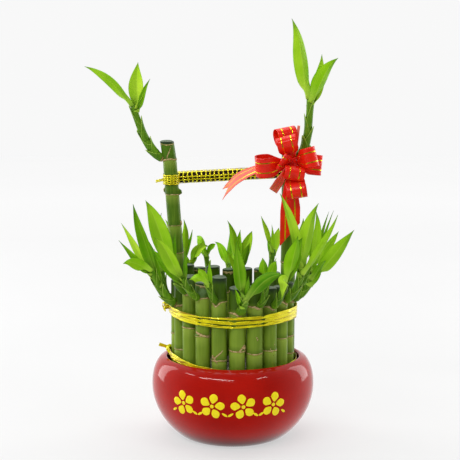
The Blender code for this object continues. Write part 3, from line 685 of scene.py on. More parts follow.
def make_pebbles():
    """Loose pebbles bedded in the top of the fill, inside and just outside the ring of stalks."""
    rng = random.Random(7)
    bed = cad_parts["pebble_bed"]
    bed.data.materials.clear()
    bed.data.materials.append(MATERIALS["pebble"])
    top = box_mm("pebble_bed")[1].z
    shape = Shape()
    inner = 38.0
    spots = [(inner * 0.97 * math.sqrt((i + 0.5) / 95.0), i * 2.39996) for i in range(95)]
    for radius, angle in spots:
        size = rng.uniform(3.0, 4.6)
        radius = max(0.0, min(radius, inner - size))
        centre = Vector((radius * math.cos(angle), radius * math.sin(angle), top + size * 0.25))
        tall = rng.uniform(0.5, 0.7)
        long = rng.uniform(0.85, 1.15)
        turn = rng.uniform(0.0, math.pi)

        def place(way, _):
            p = Vector((way.x * long, way.y, way.z * tall))
            p *= 1.0 + 0.12 * noise.noise(p * 1.3 + centre)
            x = p.x * math.cos(turn) - p.y * math.sin(turn)
            y = p.x * math.sin(turn) + p.y * math.cos(turn)
            return centre + Vector((x, y, p.z)) * size

        add_ball(shape, 8, 14, place, centre, tall * size)
    shape.build("pebbles", [MATERIALS["pebble"]], slot="pebble")


# ---------------------------------------------------------------- stalks

FINE_STEP = 0.42              # between rows of vertices at scars and cuts
CLOSE_STEP = 1.4              # and near them
PLAIN_STEP = 3.5              # and elsewhere
# Stalks with a tan line just under the cut.
CUT_LINES = ("stalk_04", "stalk_06", "stalk_13", "stalk_15", "stalk_17", "stalk_18", "tall_stalk_left")
BLOOM = {"stalk_03": 0.5, "stalk_04": 0.9, "stalk_12": 0.6}     # grey bloom on the dark top
# How far a ring dips under a bud, and how far a cut is tilted towards the front.
DIPS = {"stalk_04": 0.8, "stalk_05": 3.4, "stalk_06": 3.4, "stalk_07": 1.6, "stalk_08": 1.6}
TILTS = {"stalk_03": 1.2, "stalk_05": 2.4, "stalk_06": 1.5, "tall_stalk_left": 1.6}
# Stubs left by dropped leaves: angle from the front to the right, height, half width, how far they stand out.
STUBS = {"tall_stalk_left": ((84.0, 210.4, 2.3, 2.4), (-98.0, 211.8, 2.0, 1.5), (70.0, 184.0, 1.6, 0.8)),
         "stalk_05": ((-50.0, 79.0, 1.6, 0.7),), "stalk_06": ((66.0, 87.0, 1.8, 0.9),)}
# Healed slits in the skin: angle and height of both ends, and half its thickness.
SLITS = {
    "stalk_04": ((-60.0, 98.4, 55.0, 94.2, 0.95),),
    "stalk_05": ((-38.0, 78.0, 28.0, 84.5, 0.55), (-38.0, 78.0, -16.0, 73.5, 0.5)),
    "stalk_06": ((20.0, 84.5, 62.0, 89.0, 0.7),),
    "stalk_07": ((10.0, 96.0, 24.0, 93.5, 0.35),),
    "stalk_08": ((8.0, 84.0, 22.0, 81.0, 0.35), (40.0, 90.0, 46.0, 86.5, 0.3)),
    "tall_stalk_left": ((-18.0, 240.0, 34.0, 250.0, 0.35),),
}


def bump_at(angle, middle, sharpness):
    """1 at the middle angle, falling away round the stalk."""
    return max(0.0, math.cos(angle - middle)) ** sharpness


def slit_distance(angle, z, slit, radius):
    """Distance on the skin from a point to a slit; angles run from the front to the right."""
    first, low, second, high, _ = slit
    start = Vector((math.radians(first) * radius, low))
    run = Vector((math.radians(second) * radius, high)) - start
    round_by = math.remainder(angle + math.pi / 2.0, 2.0 * math.pi)
    here = Vector((round_by * radius, z)) - start
    share = max(0.0, min(1.0, here.dot(run) / run.length_squared))
    return (here - run * share).length


def bud_sides(node):
    """Growth rings of this stalk that carry a shoot, as height: angle of the shoot."""
    sides = {}
    for stalk, height, reach, _, _ in SHOOTS.values():
        if stalk == node:
            sides[height] = math.atan2(reach[1], reach[0])
    return sides


def make_stalk(node):
    """One stalk over its CAD solid: scarred growth rings, fine skin and a waxed, slightly dished cut."""
    line = centre_line(node)
    rng = random.Random(node)
    foot = line[0][0].z
    top = line[-1][0].z
    plain = min(radius for _, radius in line[:-1])
    heights = [centre.z for centre, radius in line if radius > plain + 0.3]
    buds = bud_sides(node)
    tilt = TILTS.get(node, rng.uniform(0.0, 0.8))
    tilt_way = rng.uniform(0.0, 2.0 * math.pi)
    if node in TILTS:
        tilt_way = math.radians(90.0)
    stubs = STUBS.get(node, ())
    rings = []
    dip_depth = DIPS.get(node, rng.uniform(0.8, 2.4))
    for height in heights:
        carried = [side for bud, side in buds.items() if abs(bud - height) < 1.0]
        rings.append((height, rng.uniform(0.2, 0.8), rng.uniform(0.0, 2.0 * math.pi), rng.uniform(0.35, 0.6),
                      carried[0] if carried else None))
    tone = rng.uniform(0.0, 0.5)
    bloom = BLOOM.get(node, 0.0)
    slits = SLITS.get(node, ())
    spans = [(height - 5.5, height + 1.6) for height in heights]
    spans += [(min(slit[1], slit[3]) - 1.0, max(slit[1], slit[3]) + 1.0) for slit in slits]
    spans += [(stub[1] - 1.5 * stub[2], stub[1] + 1.5 * stub[2]) for stub in stubs]
    stations = []
    z = foot
    while z < top - 1.2:
        stations.append(z)
        fine = any(low < z < high for low, high in spans)
        close = any(low - 8.0 < z < high + 5.0 for low, high in spans)
        z += FINE_STEP if fine or z > top - 4.5 else CLOSE_STEP if close else PLAIN_STEP
    turns = 48
    shape = Shape()
    rows = []
    for z in stations:
        row = []
        centre, _ = on_line(line, z)
        for angle in around(turns):
            scar = light = shade = swell = 0.0
            for height, lean, way, thick, bud in rings:
                dip = 0.0
                if bud is not None:
                    dip = dip_depth * bump_at(angle, bud, 9)
                    thick = thick + 0.2 + 0.5 * bump_at(angle, bud, 5)
                ragged = noise.noise(Vector((math.cos(angle) * 2.4, math.sin(angle) * 2.4, height)))
                offset = z - height - lean * math.cos(angle - way) + dip - 0.45 * ragged
                uneven = noise.noise(Vector((math.cos(angle) * 1.6, math.sin(angle) * 1.6, -height)))
                thick *= 1.0 + 0.6 * uneven
                scar = max(scar, math.exp(-(offset / max(thick, 0.2)) ** 2))
                swell += 0.4 * math.exp(-(offset / 1.1) ** 2) - 0.2 * math.exp(-((offset + 1.6) / 0.7) ** 2)
                if offset < 0.0:
                    light = max(light, 1.0 + offset / 10.0)
                else:
                    shade = max(shade, 1.0 - offset / 4.5)
            lean_here = tilt * (math.cos(angle - tilt_way) - 1.0) / 2.0
            wax = smooth_step((z - top - lean_here + 1.7) / 0.5 + 0.3 * math.sin(3.0 * angle))
            if node in CUT_LINES:
                below = z - top - lean_here + 2.2 + 0.15 * math.sin(3.0 * angle)
                scar = max(scar, 0.9 * math.exp(-(below / 0.45) ** 2))
            for side, stub_z, half, proud in stubs:
                off = math.remainder(angle + math.pi / 2.0 - math.radians(side), 2.0 * math.pi) * plain
                near = math.exp(-(off / half) ** 4 - ((z - stub_z) / half) ** 4)
                swell += proud * near
                if proud < 2.0:
                    scar = max(scar, 0.9 * near)
                else:
                    shade = max(shade, near)
            for slit in slits:
                scar = max(scar, math.exp(-(slit_distance(angle, z, slit, plain) / slit[4]) ** 2))
            wander = 0.08 * noise.noise(Vector((math.cos(angle), math.sin(angle), z * 0.05 + tone * 40.0)))
            way = level(angle)
            upper = min(1.0, max(0.0, (z - heights[-1]) / 2.5))
            row.append(shape.vertex(centre + way * (plain - 0.05 + swell + wander), scar=scar, light=light,
                                    shade=shade, top=upper, bloom=bloom * upper, wax=wax, tone=tone))
        rows.append(row)
    centre, _ = on_line(line, top)
    for inset, drop in ((0.0, 0.8), (0.35, 0.25), (0.9, 0.0), (1.6, 0.15)):
        row = []
        for angle in around(turns):
            way = level(angle)
            lean = tilt * (math.cos(angle - tilt_way) - 1.0) / 2.0
            point = centre + way * (plain - 0.05 - inset) + UP * (lean - drop)
            row.append(shape.vertex(point, top=1.0, wax=1.0, tone=tone))
        rows.append(row)
    shape.grid(rows[:-2], wrap=True)
    shape.grid(rows[-3:], wrap=True, kind=1)
    middle = shape.vertex(centre - UP * (0.7 + tilt / 2.0), top=1.0)
    for i in range(turns):
        shape.face((rows[-1][i], rows[-1][(i + 1) % turns], middle), 1)
    shape.face(tuple(reversed(rows[0])))
    skin = MATERIALS["tall_stalk"] if node.startswith("tall") else MATERIALS["stalk"]
    shape.build(node + "_grown", [skin, MATERIALS["cut"]], [node], "stalk")
    return line


# ---------------------------------------------------------------- shoots

def blade(shape, start, lean, clasp, facing, tip, leaf, fold, hook):
    """One leaf: it clasps the stem, opens out and tapers to a long point, folded along its midrib."""
    width, lift, twist, tone = leaf
    away = tip - start
    away -= lean * away.dot(lean)
    away = away.normalized() if away.length > 1.5 else facing.cross(lean).normalized()
    base = start + away * clasp
    length = (tip - base).length
    middle = base.lerp(tip, 0.45) + UP * lift + lean * (length * 0.14)
    steps = 22
    columns = 12
    open_by = min(0.45, 0.16 + 3.0 / length)
    rows = []
    before = None
    for i, (point, tangent, _, _) in enumerate(frames(bezier(base, middle, tip, steps))):
        t = i / steps
        opened = smooth_step(t / open_by)
        natural = tangent.cross(away).normalized()
        seen = tangent.cross(facing).normalized()
        if seen.dot(before or natural) < 0.0:
            seen = -seen
        across = (natural * (1.0 - opened) + seen * opened).normalized()
        before = across
        over = tangent.cross(across)
        turn = math.radians(twist) * t
        side = across * math.cos(turn) + over * math.sin(turn)
        lifted = over * math.cos(turn) - across * math.sin(turn)
        body = (t / 0.38) ** 0.8 * ((1.0 - t) / 0.62) ** 1.3
        arc = math.hypot(1.7 * clasp * (1.0 - opened), width / 2.0 * body) + 0.06
        bend = 1.7 * (1.0 - opened) + (0.5 - 0.3 * t) * opened
        row = []
        for c in range(columns + 1):
            u = -1.0 + 2.0 * c / columns
            aside = arc / bend * math.sin(bend * u)
            rise = arc / bend * (1.0 - math.cos(bend * u)) + fold * opened * abs(aside)
            rise += 0.05 * arc * opened * math.sin(9.0 * t + 2.0 * u + width) * u * u
            aside += hook * length * max(0.0, t - 0.62) ** 2
            row.append(shape.vertex(point + side * aside + lifted * rise, across=u, along=t, tone=tone))
        rows.append(row)
    shape.grid(rows)


def stem_and_sheaths(shape, points, radii, tone, rng):
    """Round stem wrapped in leaf sheaths, each ending in a free point on alternate sides."""
    turns = 18
    rows = []
    track = frames(points)
    last = len(track) - 1
    for k, (point, _, one, two) in enumerate(track):
        row = []
        for angle in around(turns):
            way = one * math.cos(angle) + two * math.sin(angle)
            row.append(shape.vertex(point + way * radii[k] * 0.88, along=0.8 * k / last, tone=tone))
        rows.append(row)
    shape.grid(rows, wrap=True, kind=1)
    length = sum((b - a).length for a, b in zip(points, points[1:]))
    count = max(2, round(length / 10.0))
    first_side = rng.choice((0.0, math.pi))
    for s in range(count):
        start = 0.04 + 0.78 * s / count
        end = min(1.0, start + 1.75 / count)
        low = int(start * last)
        seen = track[low][1].cross(FRONT)
        phase = math.atan2(seen.dot(track[low][3]), seen.dot(track[low][2])) + first_side + s * math.pi
        phase += rng.uniform(-0.6, 0.6)
        sheath_tone = min(1.0, max(0.0, tone + rng.uniform(-0.25, 0.3)))
        grid = []
        for j in range(9):
            share = j / 8.0
            row = []
            for i in range(turns + 1):
                angle = 2.0 * math.pi * i / turns
                reach = 0.2 + 0.8 * (0.5 + 0.5 * math.cos(angle - phase)) ** 1.8
                place = (start + (end - start) * share * reach) * last
                low = min(int(place), last - 1)
                point = track[low][0].lerp(track[low + 1][0], place - low)
                radius = radii[low] + (radii[low + 1] - radii[low]) * (place - low)
                stand = 0.16 + 1.5 * share ** 3 * reach ** 3
                way = track[low][2] * math.cos(angle) + track[low][3] * math.sin(angle)
                row.append(shape.vertex(point + way * (radius * 0.94 + stand), along=0.25 + 0.75 * share,
                                        tone=sheath_tone))
            grid.append(row)
        shape.grid(grid, kind=1)


def make_shoot(name, lines):
    stalk, height, reach, stem_radius, leaves = SHOOTS[name]
    rng = random.Random(name)
    line = lines[stalk]
    outward = Vector((reach[0], reach[1], 0.0)).normalized()
    foot_z = height + 0.25 * stem_radius
    plain = min(radius for _, radius in line[:-1])
    start = on_line(line, foot_z)[0] + outward * (plain + GAP)
    crown = on_line(line, height)[0] + Vector(reach)
    sideways = Vector((crown.x - start.x, crown.y - start.y, 0.0)).length
    rise = crown.z - start.z
    middle = start + outward * max(2.9 * stem_radius, 0.6 * sideways) + UP * (0.3 * min(rise, sideways))
    spans = 24
    points = bezier(start - outward * 0.8, middle, crown, spans)
    radii = [stem_radius * lerp_table(BUD_SWELL, i / spans) for i in range(spans + 1)]
    tone = rng.uniform(0.2, 0.7)
    shape = Shape()
    stem_and_sheaths(shape, points, radii, tone, rng)
    lean = (points[-1] - points[-5]).normalized()
    for order, (tip, width, lift, twist, leaf_tone) in enumerate(leaves):
        foot = crown - lean * (stem_radius * (0.4 + 0.9 * order))
        clasp = stem_radius * (0.84 + 0.05 * order)
        facing = FRONT * 0.9 + outward * 0.4 + UP * 0.25
        facing += Vector([rng.uniform(-0.3, 0.3) for _ in range(3)])
        blade(shape, foot, lean, clasp, facing.normalized(), crown + Vector(tip),
              (width, lift, twist, leaf_tone), rng.uniform(0.12, 0.6), rng.uniform(-0.4, 0.4))
    shape.build(name + "_grown", [MATERIALS["leaf"], MATERIALS["stem"]], [name], "leaf", solid=0.25)


# ---------------------------------------------------------------- foil ties and crossbar

def spread(value, count):
    """One value for each of count places, unless it is a list already."""
    return value if isinstance(value, list) else [value] * count


def foil_strip(shape, points, widths, side, crinkle, seed, columns=6):
    """Strip of foil along a path, creased at random across and along its length."""
    widths = spread(widths, len(points))
    side = spread(side, len(points))
    rows = []
    for k, (point, tangent, _, _) in enumerate(frames(points)):
        across = (side[k] - tangent * side[k].dot(tangent)).normalized()
        over = tangent.cross(across)
        row = []
        for c in range(columns + 1):
            u = -1.0 + 2.0 * c / columns
            fold = noise.noise(Vector((k * 0.31, u * 1.7 + seed, seed * 3.1))) * crinkle
            fold += 0.25 * crinkle * math.sin(u * 7.0 + seed)
            row.append(shape.vertex(point + across * (widths[k] / 2.0 * u) + over * fold))
        rows.append(row)
    shape.grid(rows)


def spline_table(rows, place):
    """Values of a table of rows (place, values...) at a place, on a smooth curve through the rows."""
    for k in range(len(rows) - 1):
        if place <= rows[k + 1][0]:
            break
    near = [rows[max(k - 1, 0)], rows[k], rows[k + 1], rows[min(k + 2, len(rows) - 1)]]
    t = (place - near[1][0]) / (near[2][0] - near[1][0])
    out = []
    for column in range(1, len(near[0])):
        a, b, c, d = (row[column] for row in near)
        value = b * 2.0 + (c - a) * t + (a * 2.0 - b * 5.0 + c * 4.0 - d) * t ** 2
        out.append(0.5 * (value + (b * 3.0 - a - c * 3.0 + d) * t ** 3))
    return out


# Strands of the ties: angle from the front to the right in degrees, height of the strand's middle, width.
UPPER_STRANDS = (
    ((-30, 106.4, 2.6), (-14, 105.2, 1.8), (0, 104.8, 1.6), (26, 105.6, 1.9), (50, 107.0, 3.8),
     (90, 106.4, 4.0), (180, 106.0, 4.0), (270, 109.8, 2.4), (300, 108.4, 3.2), (330, 106.4, 2.6)),
    ((-30, 109.2, 3.0), (-14, 108.7, 2.7), (0, 108.2, 2.8), (26, 108.9, 3.0), (50, 110.2, 4.0),
     (90, 109.6, 4.2), (180, 109.0, 4.0), (270, 111.6, 2.6), (300, 110.8, 3.6), (330, 109.2, 3.0)),
    ((-30, 112.2, 1.6), (-22, 112.0, 0.9), (-8, 111.9, 1.6), (0, 112.0, 2.3), (12, 112.0, 2.4),
     (26, 112.2, 2.6), (50, 113.3, 3.6), (90, 112.6, 3.8), (180, 112.0, 3.6), (270, 113.6, 2.2),
     (300, 113.4, 2.6), (330, 112.2, 1.6)),
)
LOWER_STRANDS = (
    ((-30, 69.4, 2.6), (0, 67.4, 2.4), (90, 67.6, 2.6), (180, 69.0, 2.8), (240, 72.2, 3.0), (270, 75.0, 2.8),
     (300, 73.2, 3.0), (330, 69.4, 2.6)),
    ((-30, 67.2, 2.2), (0, 65.9, 2.0), (90, 66.2, 2.2), (180, 67.2, 2.4), (240, 70.0, 2.6), (270, 72.6, 2.4),
     (300, 70.6, 2.6), (330, 67.2, 2.2)),
)
# Ends of the ties, from the rim of the pot or from the upper tie's knot.
LOWER_END = ((3.0, 3.0, -1.5), (-1.5, 0.5, 0.5), (-8.8, 0.0, 3.0))
LOWER_TURN = ((1.0, -5.0, -3.5), (-1.6, -2.0, 0.2), (0.6, 2.0, 1.6), (4.0, 5.0, -1.0))
TWIST_ENDS = (
    ((-1.0, 0.0, 0.0), (-4.6, 0.4, 0.6), (-5.0, 0.6, 4.0), (-1.6, 0.4, 3.6), (-1.2, 0.0, 1.0)),
    ((-1.2, 0.0, 1.6), (-3.4, -1.6, -0.6), (-2.6, -2.0, -3.0)),
    ((-1.2, 0.0, 1.6), (-2.6, 1.8, 3.0), (-4.4, 3.0, 1.4)),
)
NET_RADIUS = 5.15             # of the foil net round the crossbar
NET_STEP = 3.8                # from one ring of the net to the next
NET_STRIPS = 9                # along the net
LASHING_HALF = 122.0          # degrees that a lashing reaches to each side of the front
PINCHES = (-30.0, 1.0, 27.0, 330.0)         # places where a strand is creased to a point


def make_tie(strands, radius, pinches):
    """Tie round the ring: foil strands that run apart across the front and lie together elsewhere."""
    shape = Shape()
    for number, rows in enumerate(strands):
        points = []
        widths = []
        first, last = rows[0][0], rows[-1][0]
        steps = int((last - first) * 0.7)
        for i in range(steps + 1):
            degrees = first + (last - first) * i / steps
            z, width = spline_table(rows, degrees)
            for pinch in pinches:
                width *= 1.0 - 0.5 * math.exp(-((degrees - pinch) / 1.6) ** 2)
                z -= 0.35 * math.exp(-((degrees - pinch) / 3.0) ** 2)
            angle = math.radians(degrees)
            way = from_front(angle)
            scallop = 0.18 * math.cos(20.0 * (angle - math.radians(4.0)))
            points.append(way * (radius + scallop + 0.15 * number) + UP * z)
            widths.append(width)
        foil_strip(shape, points, widths, UP, 0.26, 3.0 + number * 7.0)
    return shape


def make_knot(shape, middle, size, seed):
    """Small crumpled knot of foil."""
    def place(way, _):
        crumple = 1.0 + 0.3 * noise.noise(way * 2.6 + Vector((seed, 0.0, 0.0)))
        return middle + Vector((way.x * size.x, way.y * size.y, way.z * size.z)) * crumple

    add_ball(shape, 10, 20, place, middle, size.z)


def twisted_strip(shape, points, widths, turns, seed):
    """Foil strip that turns about its own middle line along the way."""
    track = frames(points)
    side = []
    for k, (_, _, one, two) in enumerate(track):
        angle = 2.0 * math.pi * turns * k / (len(track) - 1) + seed
        side.append(one * math.cos(angle) + two * math.sin(angle))
    foil_strip(shape, points, widths, side, 0.18, seed, columns=4)


def make_ties():
    low, high = box_mm("tie_upper")
    radius = (high.x - low.x) / 2.0 - 0.35
    shape = make_tie(UPPER_STRANDS, radius, PINCHES)
    shape.build("tie_upper_foil", [MATERIALS["foil"]], ["tie_upper"], "gold_foil", solid=0.3)
    shape = make_tie(LOWER_STRANDS, radius, ())
    rim = Vector((-radius, -2.0, 76.0))
    points = smooth_path([rim + Vector(way) for way in LOWER_END], 8)
    foil_strip(shape, points, [2.0 + 1.6 * i / len(points) for i in range(len(points))],
               Vector((0.2, -0.35, 1.0)), 0.25, 1.0)
    points = smooth_path([rim + Vector(way) for way in LOWER_TURN], 8)
    twisted_strip(shape, points, 2.8, 0.3, 1.7)
    shape.build("tie_lower_foil", [MATERIALS["foil"]], ["tie_lower"], "gold_foil", solid=0.3)
    band = Vector((-radius - 0.2, -4.5, 111.6))
    shape = Shape()
    make_knot(shape, band + Vector((-1.6, 0.0, 1.0)), Vector((2.0, 2.0, 2.2)), 4.0)
    for seed, ways in enumerate(TWIST_ENDS):
        points = smooth_path([band + Vector(way) for way in ways], 8)
        twisted_strip(shape, points, 2.2, 0.35, seed * 2.1)
    shape.build("tie_twist_foil", [MATERIALS["foil"]], ["tie_twist"], "gold_foil", solid=0.3)


def make_crossbar():
    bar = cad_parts["crossbar"]
    bar.data.materials.clear()
    bar.data.materials.append(MATERIALS["bar"])
    rings = {}
    for point in [v.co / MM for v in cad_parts["crossbar_net"].data.vertices]:
        rings.setdefault(point.x < 0.0, []).append(point)
    start = sum(rings[True], Vector()) / len(rings[True])
    end = sum(rings[False], Vector()) / len(rings[False])
    shape = Shape()
    track = frames([start, end])[0]
    axis = (end - start).normalized()
    length = (end - start).length
    count = int(length / NET_STEP)
    for k in range(NET_STRIPS):
        angle = 2.0 * math.pi * (k + 0.25 * (k % 2)) / NET_STRIPS
        way = track[2] * math.cos(angle) + track[3] * math.sin(angle)
        side = axis.cross(way)
        points = [start.lerp(end, i / 60.0) + way * (NET_RADIUS + 0.1 * math.sin(i * 1.1 + k))
                  for i in range(61)]
        foil_strip(shape, points, 0.9, side, 0.05, k * 1.7, columns=2)
    for k in range(count + 1):
        middle = start + axis * (length * k / count)
        points = []
        for i in range(33):
            angle = 2.0 * math.pi * i / 32.0
            way = track[2] * math.cos(angle) + track[3] * math.sin(angle)
            points.append(middle + way * (NET_RADIUS + 0.12) + axis * (0.35 * math.sin(3.0 * angle + k)))
        foil_strip(shape, points, 1.1, axis, 0.05, k * 0.9, columns=2)
    shape.build("crossbar_net_foil", [MATERIALS["foil"]], ["crossbar_net"], "gold_foil", solid=0.35)


def front_arc(half, steps=40):
    """Evenly spaced angles across the front, as far to the left as to the right."""
    return [half * (2.0 * i / steps - 1.0) for i in range(steps + 1)]


def make_left_lashing(line):
    """Foil band round the left tall stalk: level strips, upright strips and a twisted end."""
    low, high = box_mm("lashing_left")
    centre, radius = on_line(line, (low.z + high.z) / 2.0)
    half = math.radians(LASHING_HALF)
    foot = low.z - centre.z
    height = high.z - low.z
    shape = Shape()
    for k in range(5):
        z = foot + 0.6 + (height - 1.2) * k / 4.0
        points = []
        for i, angle in enumerate(front_arc(half)):
            out = from_front(angle) * (radius + 0.75 + 0.1 * math.sin(i + k))
            points.append(centre + out + UP * (z + 0.25 * math.sin(i * 0.9 + k)))
        foil_strip(shape, points, 1.0, UP, 0.06, k * 2.3, columns=2)
    for k in range(11):
        angle = half * (2.0 * (k + 0.5) / 11.0 - 1.0)
        out = from_front(angle) * (radius + 0.85)
        points = [centre + out + UP * (foot + height * i / 8.0) for i in range(9)]
        foil_strip(shape, points, 0.9, level(angle), 0.04, k * 1.3, columns=2)
    twist_start = centre + Vector((-radius - 0.6, -2.0, 0.0))
    for k in range(2):
        points = []
        for i in range(24):
            t = i / 23.0
            turned = from_front(9.0 * t + k * math.pi)
            points.append(twist_start + Vector((-6.5 * t, -0.8 * turned.y, 0.8 * turned.x - 1.5 * t)))
        foil_strip(shape, points, 1.1, UP, 0.1, k * 4.0, columns=2)
    shape.build("lashing_left_foil", [MATERIALS["foil"]], ["lashing_left"], "gold_foil", solid=0.3)


def make_right_lashing(line):
    """Ribbon band that holds the bow to the right tall stalk."""
    low, high = box_mm("lashing_right")
    centre, radius = on_line(line, (low.z + high.z) / 2.0)
    points = [centre + from_front(angle) * (radius + 0.9) for angle in front_arc(math.radians(LASHING_HALF))]
    shape = Shape()
    ribbon(shape, points, high.z - low.z, UP, 0.0)
    shape.build("lashing_right_ribbon", [MATERIALS["ribbon"]], ["lashing_right"], "ribbon", solid=0.25)


# ---------------------------------------------------------------- bow

def ribbon(shape, points, widths, side, pleat, cut=0.0, fork=0.0):
    """Ribbon along a path. Where it is narrow it is pleated; cut slants its end and fork notches it."""
    columns = 12
    widths = spread(widths, len(points))
    rows = []
    track = frames(points)
    last = len(track) - 1
    for k, (point, tangent, _, _) in enumerate(track):
        across = (side - tangent * side.dot(tangent)).normalized()
        over = tangent.cross(across)
        narrow = 1.0 - min(1.0, widths[k] / RIBBON_WIDTH)
        row = []
        for c in range(columns + 1):
            u = -1.0 + 2.0 * c / columns
            shift = (cut * u + fork * (abs(u) - 1.0)) * (k / last) ** 4
            fold = pleat * narrow * math.cos(3.0 * math.pi * u)
            row.append(shape.vertex(point + across * (widths[k] / 2.0 * u) + over * fold + tangent * shift,
                                    across=u, along=k / last))
        rows.append(row)
    shape.grid(rows)


def loop_path(bow, knot_half, way, side, length, belly, steps):
    bulge = way.cross(side)
    start = 1.0 / math.sqrt(sum((way[i] / knot_half[i]) ** 2 for i in range(3))) + 2.0 * GAP
    points = []
    widths = []
    for i in range(steps + 1):
        t = i / steps
        out = start + (length - start) * math.sin(math.pi * t) ** 0.85
        apart = belly / 2.0 * math.sin(2.0 * math.pi * t) * 1.1 + (1.0 - 2.0 * t) * 0.9
        points.append(bow + way * out + bulge * apart)
        opening = smooth_step(math.sin(math.pi * t) * 2.0)
        widths.append(KNOT_WIDTH + (RIBBON_WIDTH - KNOT_WIDTH) * opening)
    return points, widths


def make_bow_knot(bow, half):
    """Knot in the middle of the bow, pleated from pole to pole."""
    def place(way, angle):
        crease = 1.0 - 0.10 * abs(math.sin(3.5 * angle)) * math.hypot(way.x, way.y)
        return bow + Vector((way.x * half.x, way.y * half.y, way.z * half.z)) * crease

    shape = Shape()
    add_ball(shape, 12, 28, place, bow, half.z, across=0.8)
    shape.build("bow_knot_ribbon", [MATERIALS["ribbon"]], ["bow_knot"], "ribbon")


def make_bow_loop(name, bow, half, shape_of, scale=1.0, replaced=(), steps=48):
    """Loop of ribbon from the knot; shape_of holds its way, its side, its length and its belly."""
    way, side, length, belly = shape_of
    way = Vector(way).normalized()
    side = Vector(side)
    side = (side - way * side.dot(way)).normalized()
    points, widths = loop_path(bow, half, way, side, length, belly, steps)
    shape = Shape()
    ribbon(shape, points, [width * scale for width in widths], side, 0.5)
    shape.build(name + "_ribbon", [MATERIALS["ribbon"]], replaced, "ribbon", solid=0.25)


def make_bow_tail(name, route, first, last, side):
    """Tail of ribbon that widens from the knot; its end may be slanted or forked."""
    points = smooth_path([Vector(p) for p in route], 14)
    count = len(points) - 1
    widths = [first + (last - first) * min(1.0, 1.6 * i / count) for i in range(count + 1)]
    cut, fork = TAIL_ENDS.get(name, (0.0, 0.0))
    shape = Shape()
    ribbon(shape, points, widths, Vector(side), 0.6, cut, fork)
    # All tails but the one hanging down take the paler copy: painted light shining through the ribbon.
    finish = MATERIALS["ribbon"] if name == "bow_tail_down" else MATERIALS["ribbon_backlit"]
    shape.build(name + "_ribbon", [finish], [name], "ribbon", solid=0.25)


def make_bow():
    low, high = box_mm("bow_knot")
    bow = (low + high) / 2.0
    half = (high - low) / 2.0
    for name, shape_of in BOW_LOOPS.items():
        make_bow_loop(name, bow, half, shape_of, replaced=[name])
    make_bow_loop("bow_loop_small", bow, half, SMALL_LOOP, scale=0.9, steps=40)
    for name, (route, (first, last), side) in BOW_TAILS.items():
        make_bow_tail(name, route, first, last, side)
    points = smooth_path([bow + Vector(p) for p in PULL_STRIP], 10)
    shape = Shape()
    ribbon(shape, points, 2.4, Vector((1.0, 0.2, 0.0)), 0.0)
    # The pull strip takes the paler copy too: painted light shining through it.
    shape.build("bow_pull_strip", [MATERIALS["ribbon_backlit"]], slot="ribbon", solid=0.2)
    make_bow_knot(bow, half)


# ---------------------------------------------------------------- studio

FLOOR_HALF = 4.0              # metres, as in all of this section
LIT_POINT = (0.0, 0.0, 0.15)
# Lights: place, width and height, power in watts.
LIGHTS = {
    "key": ((-0.67, -1.26, 1.3), (1.5, 0.08), 13.5),
    "key_left": ((-1.4, -0.27, 1.3), (0.5, 0.08), 2.8),
    "key_right": ((1.1, -0.92, 1.3), (0.5, 0.06), 2.8),
    "left_box": ((-1.1, 0.7, 0.5), (0.5, 1.1), 6.2),
    "right_box": ((1.1, 0.7, 0.5), (0.5, 1.1), 5.4),
    "top_box": ((0.0, 0.3, 1.6), (1.2, 1.0), 8.0),
}


def make_camera():
    data = bpy.data.cameras.new("camera")
    data.sensor_width = 36.0
    data.lens = 90.23
    data.clip_start = 0.01
    camera = bpy.data.objects.new("camera", data)
    camera.location = (-0.0025, -0.98, 0.30)
    camera.rotation_euler = (math.radians(90.0 - 7.083), 0.0, 0.0)
    bpy.context.scene.collection.objects.link(camera)
    bpy.context.scene.camera = camera


def area_light(name, place, size, power):
    data = bpy.data.lights.new(name, "AREA")
    data.shape = "RECTANGLE"
    data.size, data.size_y = size
    data.energy = power
    light = bpy.data.objects.new(name, data)
    light.location = place
    light.rotation_euler = (Vector(LIT_POINT) - Vector(place)).to_track_quat("-Z", "Y").to_euler()
    bpy.context.scene.collection.objects.link(light)


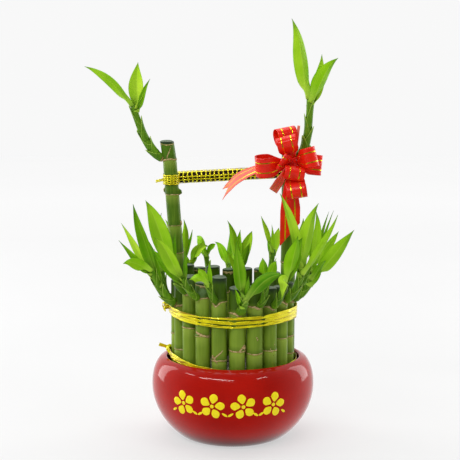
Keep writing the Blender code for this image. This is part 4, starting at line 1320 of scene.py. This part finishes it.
def make_floor():
    mesh = bpy.data.meshes.new("floor")
    corners = [(x * FLOOR_HALF, y * FLOOR_HALF, 0.0) for x, y in ((-1, -1), (1, -1), (1, 1), (-1, 1))]
    mesh.from_pydata(corners, [], [(0, 1, 2, 3)])
    mesh.materials.append(MATERIALS["floor"])
    floor = bpy.data.objects.new("floor", mesh)
    bpy.context.scene.collection.objects.link(floor)
    floor.visible_glossy = False


def make_world():
    """Dark room in front of the set, light wall behind it, and one even white where the camera looks past."""
    world = bpy.data.worlds.new("studio")
    world.use_nodes = True
    nodes = world.node_tree.nodes
    links = world.node_tree.links
    coords = nodes.new("ShaderNodeTexCoord")
    parts = nodes.new("ShaderNodeSeparateXYZ")
    depth = nodes.new("ShaderNodeMapRange")
    depth.interpolation_type = "SMOOTHSTEP"
    for name, value in (("From Min", -0.75), ("From Max", 0.6), ("To Min", 0.12), ("To Max", 0.95)):
        depth.inputs[name].default_value = value
    room = nodes["Background"]
    seen = nodes.new("ShaderNodeBackground")
    for background in (room, seen):
        background.inputs["Color"].default_value = (1.0, 1.0, 1.0, 1.0)
    seen.inputs["Strength"].default_value = 0.94
    path = nodes.new("ShaderNodeLightPath")
    mix = nodes.new("ShaderNodeMixShader")
    links.new(coords.outputs["Generated"], parts.inputs["Vector"])
    links.new(parts.outputs["Y"], depth.inputs["Value"])
    links.new(depth.outputs["Result"], room.inputs["Strength"])
    links.new(path.outputs["Is Camera Ray"], mix.inputs["Fac"])
    links.new(room.outputs["Background"], mix.inputs[1])
    links.new(seen.outputs["Background"], mix.inputs[2])
    links.new(mix.outputs["Shader"], nodes["World Output"].inputs["Surface"])
    bpy.context.scene.world = world
    bpy.context.scene.view_settings.view_transform = "Standard"


def make_studio():
    make_floor()
    for name, (place, size, power) in LIGHTS.items():
        area_light(name, place, size, power)
    make_world()


make_camera()
make_pot()
make_ornament()
make_pebbles()
LINES = {}
for stalk_node in [n for n in sorted(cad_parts) if "stalk_" in n]:
    LINES[stalk_node] = make_stalk(stalk_node)
for shoot_name in SHOOTS:
    make_shoot(shoot_name, LINES)
make_ties()
make_crossbar()
make_left_lashing(LINES["tall_stalk_left"])
make_right_lashing(LINES["tall_stalk_right"])
make_bow()
make_studio()
